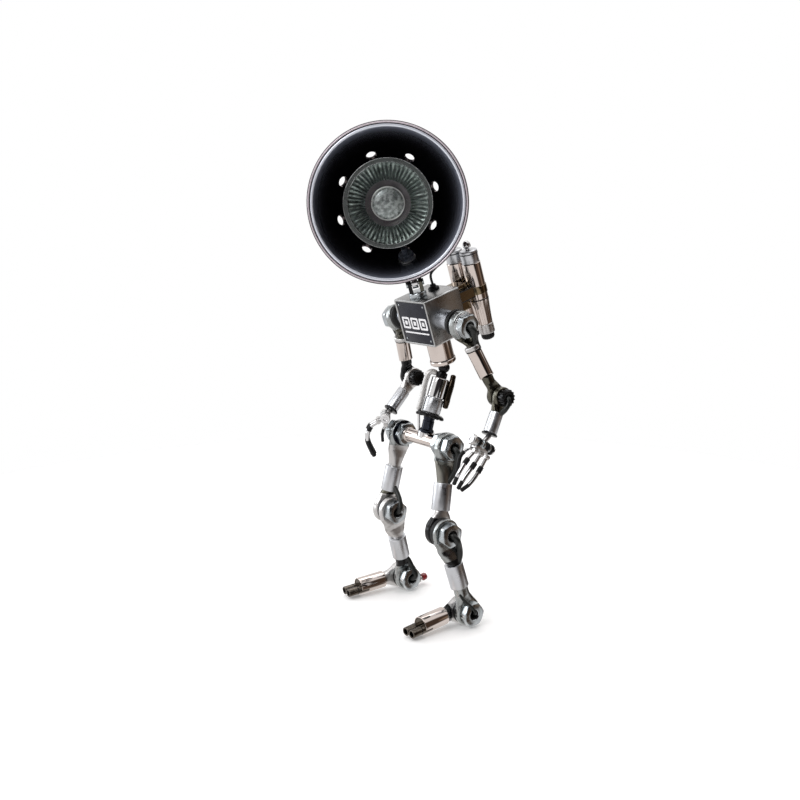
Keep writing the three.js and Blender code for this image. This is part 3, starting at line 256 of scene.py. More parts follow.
# ------------------------------------------------------------------ mesh tools
def fillet(pts, r, n=3, closed=False):
    """Rounds the corners of a profile by up to r."""
    P = [Vector((a, b)) for a, b in pts]; out = []; N = len(P)
    for i in range(N):
        if not closed and (i == 0 or i == N - 1): out.append(P[i]); continue
        a, b, c = P[i - 1], P[i], P[(i + 1) % N]
        u, w = a - b, c - b
        if u.length < 1e-6 or w.length < 1e-6: out.append(b); continue
        ang = u.angle(w)
        if ang > 2.9: out.append(b); continue
        t = min(r / math.tan(ang / 2), u.length * 0.45, w.length * 0.45)
        s, e = b + u.normalized() * t, b + w.normalized() * t
        for k in range(n + 1):
            q = k / n
            out.append(s * (1 - q) ** 2 + b * 2 * q * (1 - q) + e * q ** 2)
    return [(p.x, p.y) for p in out]


def lathe(pts, seg=64, r=0.22, closed=False, mod=None, n=3):
    """Revolves a (radius, z) profile about local Z. Open profiles start and end on the axis or are open rims."""
    P = fillet(pts, r, n, closed) if r > 0 else list(pts)
    verts, faces, rows = [], [], []
    for i, (q, z) in enumerate(P):
        if q < 1e-5 and not closed:
            rows.append([len(verts)]); verts.append((0, 0, z)); continue
        row = []
        for k in range(seg):
            a = 2 * math.pi * k / seg; rr, zz = (mod(q, z, a) if mod else (q, z))
            row.append(len(verts)); verts.append((rr * math.cos(a), rr * math.sin(a), zz))
        rows.append(row)
    m = len(rows)
    for i in range(m if closed else m - 1):
        A, B = rows[i], rows[(i + 1) % m]
        for k in range(seg):
            k2 = (k + 1) % seg
            if len(A) == 1 and len(B) == 1: continue
            if len(A) == 1: faces.append((A[0], B[k], B[k2]))
            elif len(B) == 1: faces.append((A[k], B[0], A[k2]))
            else: faces.append((A[k], B[k], B[k2], A[k2]))
    # outside to the outside: profiles that climb in z with the solid on the axis side
    return verts, faces


def rod(r, z0, z1, seg=40, b=0.2):
    return lathe([(0, z0), (r, z0), (r, z1), (0, z1)], seg, b)


def ring(ro, ri, z0, z1, seg=56, b=0.25):
    return lathe([(ri, z0), (ro, z0), (ro, z1), (ri, z1)], seg, b, closed=True)


def hexnut(af, z0, z1, bore=0.0, ch=0.55):
    """Hexagon nut with turned chamfers at both ends."""
    seg = 72; rc = af / math.sqrt(3)
    zs = []; H = z1 - z0
    for k in range(5): zs.append(k / 4 * ch * 1.3)
    zs = zs + [H - z for z in reversed(zs)]
    def rad(a, z):
        t = (a + math.pi / 6) % (math.pi / 3) - math.pi / 6
        rh = af / 2 / math.cos(t)
        e = min(z, H - z)
        return min(rh, rc * 0.985, af / 2 * 0.965 + e * 1.75)
    verts, faces, rows = [], [], []
    def row(f, z):
        r0 = []
        for k in range(seg):
            a = 2 * math.pi * (k + 0.0) / seg; q = f(a)
            r0.append(len(verts)); verts.append((q * math.cos(a), q * math.sin(a), z0 + z))
        rows.append(r0)
    hb = bore if bore > 0 else 0.01
    row(lambda a: hb, 0.35 if bore else 0); 
    if bore: row(lambda a: hb + 0.35, 0)
    for z in zs: row(lambda a, z=z: rad(a, z), z)
    if bore: row(lambda a: hb + 0.35, H)
    row(lambda a: hb, H - 0.35 if bore else H)
    if bore: rows.append(rows[0])
    for i in range(len(rows) - 1):
        A, B = rows[i], rows[i + 1]
        for k in range(seg):
            k2 = (k + 1) % seg; faces.append((A[k], A[k2], B[k2], B[k]))
    if not bore:
        faces.append(tuple(reversed(rows[0]))); faces.append(tuple(rows[-1]))
    return verts, faces


def spline(pts, n):
    P = [Vector(p) for p in pts]; P = [P[0] * 2 - P[1]] + P + [P[-1] * 2 - P[-2]]
    out = []
    seg = len(P) - 3
    L = [(P[i + 2] - P[i + 1]).length for i in range(seg)]; T = sum(L)
    for i in range(seg):
        k = max(2, round(n * L[i] / T)); p0, p1, p2, p3 = P[i:i + 4]
        t0 = 0; t1 = (p1 - p0).length ** 0.5; t2 = t1 + (p2 - p1).length ** 0.5; t3 = t2 + (p3 - p2).length ** 0.5
        for j in range(k):
            t = t1 + (t2 - t1) * j / k
            a1 = p0 * ((t1 - t) / (t1 - t0)) + p1 * ((t - t0) / (t1 - t0)); a2 = p1 * ((t2 - t) / (t2 - t1)) + p2 * ((t - t1) / (t2 - t1)); a3 = p2 * ((t3 - t) / (t3 - t2)) + p3 * ((t - t2) / (t3 - t2))
            b1 = a1 * ((t2 - t) / (t2 - t0)) + a2 * ((t - t0) / (t2 - t0)); b2 = a2 * ((t3 - t) / (t3 - t1)) + a3 * ((t - t1) / (t3 - t1))
            out.append(b1 * ((t2 - t) / (t2 - t1)) + b2 * ((t - t1) / (t2 - t1)))
    out.append(P[-2].copy())
    return out


def sweep(path, radius, seg=18, cap="round"):
    """Round bar along a list of points; radius is a number or a function of the share of length."""
    P = path; N = len(P); cum = [0]
    for i in range(1, N): cum.append(cum[-1] + (P[i] - P[i - 1]).length)
    T = cum[-1]; f = radius if callable(radius) else (lambda t: radius)
    tan = [(P[min(i + 1, N - 1)] - P[max(i - 1, 0)]).normalized() for i in range(N)]
    x = tan[0].orthogonal().normalized(); verts, rows, faces = [], [], []
    def put(c, t, x, r):
        y = t.cross(x); row = []
        for k in range(seg):
            a = 2 * math.pi * k / seg; v = c + (x * math.cos(a) + y * math.sin(a)) * r
            row.append(len(verts)); verts.append(tuple(v))
        rows.append(row)
    r0, r1 = f(0), f(1)
    def tip(c): verts.append(tuple(c)); return [len(verts) - 1]
    m = 4 if cap == "round" else 2; dome = 0.6 if cap == "round" else 0.12
    rows.append(tip(P[0] - tan[0] * (r0 * dome if cap == "round" else 0)))
    for k in range(1, m):
        a = k / m * math.pi / 2; put(P[0] - tan[0] * r0 * dome * math.cos(a) * (1 if cap == "round" else 0), tan[0], x, r0 * math.sin(a) if cap == "round" else r0 * 0.94)
    for i in range(N):
        x = (x - tan[i] * x.dot(tan[i])).normalized(); put(P[i], tan[i], x, f(cum[i] / T))
    for k in range(m - 1, 0, -1):
        a = k / m * math.pi / 2; put(P[-1] + tan[-1] * r1 * dome * math.cos(a) * (1 if cap == "round" else 0), tan[-1], x, r1 * math.sin(a) if cap == "round" else r1 * 0.94)
    rows.append(tip(P[-1] + tan[-1] * (r1 * dome if cap == "round" else 0)))
    for i in range(len(rows) - 1):
        A, B = rows[i], rows[i + 1]
        for k in range(seg):
            k2 = (k + 1) % seg
            if len(A) == 1: faces.append((A[0], B[k2], B[k]))
            elif len(B) == 1: faces.append((A[k], A[k2], B[0]))
            else: faces.append((A[k], A[k2], B[k2], B[k]))
    return verts, faces


def rounded_rect(w, h, r, n=5, y0=0.0, z0=0.0):
    out = []
    for cx, cy, a0 in ((w / 2 - r, h / 2 - r, 0), (-w / 2 + r, h / 2 - r, 90), (-w / 2 + r, -h / 2 + r, 180), (w / 2 - r, -h / 2 + r, 270)):
        for k in range(n + 1):
            a = (a0 + 90 * k / n) * D; out.append((cx + r * math.cos(a) + y0, cy + r * math.sin(a) + z0))
    return out


def loft(rings, caps=(True, True)):
    verts, faces, rows = [], [], []
    for R in rings:
        rows.append(list(range(len(verts), len(verts) + len(R)))); verts += [tuple(p) for p in R]
    n = len(rings[0])
    for A, B in zip(rows, rows[1:]):
        for k in range(n):
            k2 = (k + 1) % n; faces.append((A[k], A[k2], B[k2], B[k]))
    if caps[0]: faces.append(tuple(reversed(rows[0])))
    if caps[1]: faces.append(tuple(rows[-1]))
    return verts, faces


def slab(w, h, d, r=0.8, b=0.25, n=5):
    """Block w x h across and d thick along local Z from 0, with rounded corners and eased edges."""
    rg = []
    for z, s in ((0, b), (b * 0.3, b * 0.3), (b, 0), (d - b, 0), (d - b * 0.3, b * 0.3), (d, b)):
        rg.append([(x, y, z) for x, y in rounded_rect(w - 2 * s, h - 2 * s, max(0.05, r - s), n)])
    return loft(rg)


def tf(mesh, M):
    v, f = mesh
    return [tuple(M @ Vector(p)) for p in v], f


# signed distance pieces (arrays of x, y, z), joined with soft unions for forged shapes
def smin(a, b, k):
    h = np.clip(0.5 + 0.5 * (b - a) / k, 0, 1)
    return b * (1 - h) + a * h - k * h * (1 - h)


def disc_x(x, y, z, R, w, r):
    """Rounded disc about X."""
    dr = np.sqrt(y * y + z * z) - (R - r); dx = np.abs(x) - (w - r)
    return np.sqrt(np.maximum(dr, 0) ** 2 + np.maximum(dx, 0) ** 2) + np.minimum(np.maximum(dr, dx), 0) - r


def forged(rows, R, w, land, bw, lean, bore, end, blend=2.0, edge=1.3):
    """Rod end along +Z with its eye about X: rounded ring, raised land, and a waist that turns from flat to round."""
    zz = np.array([r[0] for r in rows]); hw = np.array([r[1] for r in rows]); ht = np.array([r[2] for r in rows])
    def f(x, y, z):
        s = np.clip((z - R + 0.5) / 4, 0, 1); lx = x - lean * z * s * s * (3 - 2 * s)
        a = disc_x(x, y, z, R, w, edge)
        W = np.interp(z, zz, hw); T = np.interp(z, zz, ht)
        q = (np.abs(lx / T) ** 2.4 + np.abs(y / W) ** 2.4) ** (1 / 2.4)
        b = (q - 1) * np.minimum(W, T)
        b = np.maximum(b, np.maximum(zz[0] - z, z - end))
        d = smin(a, b, blend)
        d = np.minimum(d, disc_x(x, y, z, land, bw, 0.25)) if land else d
        if bore: d = np.maximum(d, bore - np.sqrt(y * y + z * z))
        return d
    return f


def surface(f, lo, hi, h):
    """Smooth quad mesh of f = 0, by surface nets with the points moved on to the surface."""
    ax = [np.arange(lo[i], hi[i] + h, h) for i in range(3)]
    X, Y, Z = np.meshgrid(*ax, indexing="ij"); F = f(X, Y, Z); S = F < 0
    nx, ny, nz = F.shape
    acc = np.zeros((nx - 1, ny - 1, nz - 1, 3)); cnt = np.zeros((nx - 1, ny - 1, nz - 1))
    def corner(A, i, j, k): return A[i:nx - 1 + i, j:ny - 1 + j, k:nz - 1 + k]
    base = np.stack(np.meshgrid(ax[0][:-1], ax[1][:-1], ax[2][:-1], indexing="ij"), -1)
    E = [((i, j, k), tuple(v + (1 if a == n else 0) for n, v in enumerate((i, j, k)))) for a in range(3) for i in (0, 1) for j in (0, 1) for k in (0, 1) if (i, j, k)[a] == 0]
    for c0, c1 in E:
        a, b = corner(F, *c0), corner(F, *c1); cr = (a < 0) != (b < 0)
        t = np.where(cr, a / np.where(cr, a - b, 1), 0)
        p = base + h * (np.array(c0) + t[..., None] * (np.array(c1) - np.array(c0)))
        acc += np.where(cr[..., None], p, 0); cnt += cr
    on = cnt > 0; idx = -np.ones(on.shape, int); idx[on] = np.arange(on.sum())
    P = acc[on] / cnt[on][:, None]
    faces = []
    for a in range(3):
        o = [n for n in range(3) if n != a]; sl = [slice(1, -1)] * 3; sl[a] = slice(0, -1); sl2 = list(sl); sl2[a] = slice(1, None)
        A, B = S[tuple(sl)], S[tuple(sl2)]; ch = np.argwhere(A != B)
        if not len(ch): continue
        g = ch + np.array([0 if n == a else 1 for n in range(3)])
        def cell(du, dv):
            q = g.copy(); q[:, o[0]] -= du; q[:, o[1]] -= dv; return idx[q[:, 0], q[:, 1], q[:, 2]]
        quad = np.stack([cell(1, 1), cell(0, 1), cell(0, 0), cell(1, 0)], 1)
        ins = A[tuple(ch.T)]
        flip = ins if a != 1 else ~ins
        quad[~flip] = quad[~flip][:, ::-1]
        faces.append(quad)
    faces = np.concatenate(faces)
    e = 1e-3
    for _ in range(4):
        v = f(P[:, 0], P[:, 1], P[:, 2])
        G = np.stack([(f(*(P + e * np.eye(3)[i]).T) - f(*(P - e * np.eye(3)[i]).T)) / (2 * e) for i in range(3)], 1)
        st = v[:, None] * G / np.maximum((G * G).sum(1), 0.05)[:, None]
        ln = np.linalg.norm(st, axis=1, keepdims=True); st *= np.minimum(1, 0.4 * h / np.maximum(ln, 1e-9)); P = P - st
    return [tuple(p) for p in P], [tuple(int(i) for i in q) for q in faces]


PIECES = []


def piece(name, body, parts, node=None, sharp=38):
    """parts: list of (mesh, matrix, material). Makes one object that rides on body and may stand for a CAD node."""
    co, lc, faces, mi, mats = [], [], [], [], []
    for (v, f), M, mat in parts:
        M = M or Matrix.Identity(4); b = len(co)
        for q in ((mat,) if isinstance(mat, str) else mat[:2]):
            if q not in mats: mats.append(q)
        for p in v:
            w = M @ Vector(p) + SHIFT; co.append((w.x / 1000, w.y / 1000, w.z / 1000)); lc.append(p)
        faces += [tuple(i + b for i in q) for q in f]
        if isinstance(mat, str): mi += [mats.index(mat)] * len(f)
        else: mi += [mats.index(mat[1] if sum(v[i][2] for i in q) / len(q) > mat[2] else mat[0]) for q in f]
    me = bpy.data.meshes.new(name); me.from_pydata(co, [], faces); me.update()
    at = me.attributes.new("lc", "FLOAT_VECTOR", "POINT"); at.data.foreach_set("vector", np.array(lc, np.float32).ravel())
    for m in mats: me.materials.append(MATS[m])
    me.polygons.foreach_set("material_index", mi)
    import bmesh
    bm = bmesh.new(); bm.from_mesh(me); bmesh.ops.recalc_face_normals(bm, faces=bm.faces); bm.to_mesh(me); bm.free()
    me.shade_smooth(); me.set_sharp_from_angle(angle=sharp * D)
    o = bpy.data.objects.new(name, me); bpy.context.scene.collection.objects.link(o)
    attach(o, body)
    if node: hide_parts(*([node] if isinstance(node, str) else node))
    PIECES.append(o)
    return o


def eye(rows, R, w, lean, bore=3.3, land=5.6, bw=2.85, end=34, h=0.42, blend=2.0, edge=1.3):
    f = forged(rows, R, w, land, bw, lean, bore, end, blend, edge)
    ml = abs(lean) * end + 6
    return surface(f, (-ml, -R - 1, -R - 1), (ml, R + 1, end + 1), h)


def lean_m(lean):
    return Matrix.Rotation(math.atan(lean), 4, "Y")


def screw(r=0.9, h=0.7):
    return lathe([(0, -0.6), (r, -0.6), (r, h * 0.6), (r * 0.7, h), (r * 0.45, h), (r * 0.4, h * 0.45), (0, h * 0.45)], 20, 0.08)


# ------------------------------------------------------------------ pelvis and spine
L, R = LEG["left"]["hip"], LEG["right"]["hip"]
x0, x1 = R.x + 3.15, L.x - 3.15; pc = V((x0 + x1) / 2, L.y, L.z); ph = (x1 - x0) / 2
PM = MV(*pc)
piece("pelvis_axle_tube", "pelvis", [(lathe([(0, -ph + 4.2), (4.6, -ph + 4.2), (4.6, -ph + 6.3), (4.05, -ph + 6.7), (4.05, ph - 6.7), (4.6, ph - 6.3), (4.6, ph - 4.2), (0, ph - 4.2)], 72, 0.3), PM @ RX, "chrome")], "pelvis_tube")
for s, a in (("right", -ph), ("left", ph - 4.5)):
    piece("pelvis_hex_" + s, "pelvis", [(hexnut(13, a + 0.15, a + 4.45), PM @ RX, "nut")])
foot0 = V(-1.2, L.y + 0.3, L.z); sd = SPB - foot0; sl = sd.length; STM = frame_at(foot0, sd, AX)
thread = [(0, 3.2), (4.4, 3.2), (4.4, 6.0), (3.5, 6.9), (3.5, sl - 3.6), (3.25, sl - 3.3), (3.25, sl - 2.7), (3.5, sl - 2.4), (3.5, sl - 0.6), (0, sl - 0.6)]
piece("waist_stem_rod", "pelvis", [(lathe(thread, 56, 0.15), STM, "blue_black")], "waist_stem")
piece("waist_saddle", "pelvis", [(surface(lambda x, y, z: np.maximum(smin(np.sqrt(x * x + y * y) - 4.7, np.abs(z - 2.6) - 2.4, 0.3) * 0 + np.maximum(np.sqrt(x * x + y * y) - 5.1, np.abs(z - 3.0) - 1.9), 4.15 - np.sqrt(y * y + (z + 0.3) ** 2)), (-6, -6, -1), (6, 6, 6), 0.3), STM, "chrome_pure")])
petal = lambda r, z, a: (r * (1 + (0.035 * math.cos(13 * a) if r > 6 else 0)), z - (0.55 * (0.5 + 0.5 * math.cos(13 * a)) * max(0, (r - 6) / 2.4) if r > 6 else 0))
piece("waist_flange", "pelvis", [(lathe([(0, -0.5), (5.6, -0.5), (7.4, -1.2), (8.3, -0.9), (8.6, -0.1), (8.2, 0.7), (7.4, 1.2), (5.6, 1.5), (0, 1.5)], 104, 0.4, mod=petal), SM, "black_metal")])
piece("waist_collar", "pelvis", [(lathe([(0, 1.7), (5.6, 1.7), (5.6, 10.4), (4.6, 10.4), (4.6, 11.2), (0, 11.2)], 72, 0.3), SM, "satin")], "waist_cylinder")
piece("waist_barrel", "pelvis", [(lathe([(0, 10.9), (4.9, 10.9), (5.3, 11.3), (5.3, 22.8), (4.8, 23.3), (4.0, 23.4), (0, 23.4)], 88, 0.3), SM, "chrome_pure")])
piece("waist_neck", "pelvis", [(lathe([(0, 23.3), (3.3, 23.3), (3.3, 26.6)] + [(3.5 * math.cos(a * D), 30 + 3.5 * math.sin(a * D)) for a in range(-52, 90, 12)] + [(0, 33.5)], 56, 0.1), SM, "black_metal")])
hose = lambda pts, c, s_: [SM @ V(c * r, s_ * r, z) for r, z in pts]
pf = hose([(4.0, 25.6), (6.2, 25.6), (7.8, 24.2), (8.3, 21.0), (8.3, 17.0), (7.8, 12.5), (7.5, 7.0), (7.5, 1.9)], -0.577, -0.817)
pr = hose([(6.9, 26.4), (7.1, 24.0), (7.1, 21.0), (7.1, 18.0), (7.1, 15.0), (7.15, 12.2), (7.4, 10.0), (7.5, 7.2)], 0.577, 0.817)
piece("waist_hose_front_skin", "pelvis", [(sweep(spline(pf, 44), 1.7, 24), None, "hose")], "waist_hose_front")
piece("waist_hose_rear_skin", "pelvis", [(sweep(spline(pr, 44), lambda t: 1.65 + 0.4 * min(1, max(0, (t - 0.12) * 5)) * min(1, max(0.25, (1 - t) * 5)), 24), None, "hose_dark")], "waist_hose_rear")
rt = SM @ V(-0.577 * 7.5, -0.817 * 7.5, 1.5)
piece("waist_guide_rod", "pelvis", [(sweep(spline([rt, rt + V(-0.2, 0.2, -5.4), V(rt.x - 0.9, L.y - 1.8, L.z + 3.2)], 16), 0.75, 16), None, "chrome_pure")])

# ------------------------------------------------------------------ torso
w2, h2, d2 = TW / 2, TH / 2, TD / 2
def rr(w, h, r, y): return [(x, y, z) for x, z in rounded_rect(w, h, r, 6)]
shell = loft([rr(TW - 1.0, TH - 1.0, 0.8, d2), rr(TW - 0.3, TH - 0.3, 1.1, d2 - 0.12), rr(TW, TH, 1.25, d2 - 0.5), rr(TW, TH, 1.25, -d2 + 0.35), rr(TW - 0.25, TH - 0.25, 1.15, -d2 + 0.08), rr(TW - 0.7, TH - 0.7, 1.0, -d2),
              rr(TW - 2.2, TH - 2.2, 0.7, -d2), rr(TW - 2.5, TH - 2.5, 0.6, -d2 + 0.15), rr(TW - 2.6, TH - 2.6, 0.5, -d2 + 0.5), rr(TW - 2.6, TH - 2.6, 0.5, -d2 + 3.2)])
piece("torso_casing", "torso", [(shell, TM, "brushed_x")], "torso_housing")
# rear seam screws
back = []
for sx in (-1, 1):
    for sz in (-1, 1): back.append((screw(1.1, 0.6), TM @ MV(sx * 12.2, d2 + 0.02, sz * 11.6) @ Matrix.Rotation(-math.pi / 2, 4, "X"), "nut"))
piece("torso_screws", "torso", back)
FM_ = TM @ MV(0, -d2 + 0.32, 0) @ Matrix.Rotation(math.pi / 2, 4, "X")      # local z points forward, x left
pw, phh = TW - 2 * 1.3 - 0.5, TH - 2 * 1.3 - 0.5
piece("chest_plate_face", "torso", [(tf(slab(pw, phh, 1.3, 0.7, 0.18), MV(0, 0, -1.3)), FM_, "plate")], "chest_plate")
def frame_ring(w, h, r, t, hgt, x=0, y=0):
    """Flat closed outline band."""
    o_ = rounded_rect(w, h, r, 8); i_ = rounded_rect(w - 2 * t, h - 2 * t, max(0.1, r - t), 8)
    return loft([[(a + x, b + y, 0.0) for a, b in i_], [(a + x, b + y, hgt) for a, b in i_], [(a + x, b + y, hgt) for a, b in o_], [(a + x, b + y, 0.0) for a, b in o_], [(a + x, b + y, 0.0) for a, b in i_]], (False, False))
marks = []
for k in (-1, 0, 1):
    marks.append((frame_ring(6.8, 7.2, 0.8, 1.25, 0.14, k * 8.0, -0.3), FM_, "print")); marks.append((tf(slab(2.2, 2.5, 0.14, 0.3, 0.03), MV(k * 8.0, -0.3, 0)), FM_, "print"))
marks.append((tf(slab(22.6, 0.95, 0.14, 0.4, 0.03), MV(0, -6.3, 0)), FM_, "print"))
piece("chest_plate_marks", "torso", marks)
dots = [(lathe([(0, -0.2), (0.62, -0.2), (0.62, 0.15), (0.35, 0.34), (0, 0.36)], 20, 0.08), FM_ @ MV(sx * 11.3, sz * 10.6, 0), "nut") for sx in (-1, 1) for sz in (-1, 1)]
piece("chest_plate_screws", "torso", dots)
piece("cable_grommet_cone", "torso", [(lathe([(0, h2 - 0.6), (3.4, h2 - 0.6), (3.4, h2 + 0.9), (2.9, h2 + 1.5), (1.9, h2 + 2.0), (1.6, h2 + 3.2), (0, h2 + 3.2)], 40, 0.25), TM @ MV(0, 6.5, 0), "rubber")], "cable_grommet")
piece("upper_waist_skin", "torso", [(lathe([(0, -h2 + 0.2), (8.2, -h2 + 0.2), (8.2, -h2 - 0.9), (7.4, -h2 - 1.3), (7.4, -h2 - 13.7), (7.9, -h2 - 14.2), (7.9, -h2 - 16.0), (7.3, -h2 - 16.6), (5.0, -h2 - 16.6), (5.0, -h2 - 14.6), (0, -h2 - 14.2)], 80, 0.22), TM, "chrome")], "upper_waist_tube")
piece("upper_waist_line", "torso", [(ring(7.56, 7.0, -h2 - 13.9, -h2 - 13.3, 72, 0.1), TM, "black_metal")])
IM = TM @ Matrix(((1, 0, 0, 0), (0, 0, 1, d2 + 0.05), (0, -1, 0, -h2 + 4.4), (0, 0, 0, 1)))
piece("power_socket", "torso", [(lathe([(0, 0), (3.6, 0), (3.6, 1.5), (2.9, 2.0), (2.9, 3.2), (1.5, 3.2), (1.5, 1.2), (0.55, 1.2), (0.55, 2.9), (0, 2.9)], 48, 0.15), IM, "black_metal")], "power_inlet")
bk = d2
for n_, s in (("left", 1), ("right", -1)):
    M = TM @ MV(s * 6.9, bk + 19.4, 0)
    piece("tank_%s_body" % n_, "torso", [(lathe([(0, -0.9), (5.75, -0.9), (5.8, -0.5), (5.8, 21.3), (5.5, 21.8), (0, 21.8)], 88, 0.2), M, "chrome")], "tank_" + n_)
    piece("tank_%s_cap" % n_, "torso", [(lathe([(0, 21.6), (5.45, 21.6), (5.45, 28.9), (4.9, 29.5), (0, 29.7)], 72, 0.35), M, "satin"),
                                      (lathe([(0, 29.4), (1.5, 29.5), (1.4, 30.4), (2.2, 31.2), (2.5, 32.4), (2.1, 33.9), (1.2, 35.0), (0, 35.3)], 48, 0.3), M, "chrome_pure"),
                                      (ring(5.62, 4.6, 27.1, 27.7, 72, 0.15), M, "black_metal")])
    bell = lambda r, z, a: (r * (1 - (0.055 * max(0, math.cos(9 * a)) ** 2 if -17 < z < -1.6 and r > 4 else 0)), z)
    piece("tank_%s_bell" % n_, "torso", [(lathe([(0, -17.2), (4.7, -17.2), (4.75, -16.6), (4.85, -14), (5.0, -11.0), (5.35, -6.0), (5.72, -2.4), (5.8, -1.5), (5.4, -1.0), (0, -1.0)], 108, 0.1, mod=bell), M, "chrome")])
    piece("tank_%s_lines" % n_, "torso", [(ring(5.86, 5.2, -1.55, -0.95, 80, 0.12), M, "black_metal"), (ring(5.62, 5.0, 21.35, 21.75, 80, 0.1), M, "black_metal")])
    piece("tank_%s_collar" % n_, "torso", [(lathe([(0, -23.3), (4.85, -23.3), (4.95, -22.7), (4.95, -17.5), (4.4, -17.0), (0, -17.0)], 72, 0.3), M, "satin_light")])
    piece("tank_%s_foot" % n_, "torso", [(lathe([(0, -27.4), (2.6, -27.4), (3.6, -26.9), (4.1, -25.8), (4.1, -23.2), (0, -23.2)], 56, 0.5), M, "rubber")])
BM_ = TM @ MV(0, bk, 0)
def bracket(x, y, z):
    a = np.maximum(np.maximum(np.abs(x) - 10.0, np.abs(y - 7.9) - 7.7), np.abs(z - 5) - 3.5)
    b = np.maximum(np.maximum(np.abs(x) - 5.5, np.abs(y - 6.8) - 6.6), np.abs(z - 3) - 8.0)
    d = smin(a, b, 1.2)
    for s in (1, -1): d = np.maximum(d, 6.0 - np.sqrt((x - s * 6.9) ** 2 + (y - 19.4) ** 2))
    return d
piece("tank_clamp", "torso", [(surface(bracket, (-11.5, -0.8, -7), (11.5, 17, 13), 0.42), BM_, "bronze")], "tank_bracket")
# two thin black bands across the clamp near its top and bottom edges: painted shadow lines
piece("tank_clamp_lines", "torso", [(tf(slab(20.4, 0.7, 15.6, 0.3, 0.1), Matrix.Rotation(-math.pi / 2, 4, "X") @ MV(0, -q, 0.2)), BM_, "black_metal") for q in (1.9, 8.2)])
piece("tank_straps", "torso", [(ring(6.15, 5.7, 2.6, 7.4, 80, 0.15), TM @ MV(s * 6.9, bk + 19.4, 0), "bronze") for s in (1, -1)])

# ------------------------------------------------------------------ legs
def cable(name, body, pts, r=1.25, n=30):
    return piece(name, body, [(sweep(spline(pts, n), r, 16), None, "cable")], sharp=60)


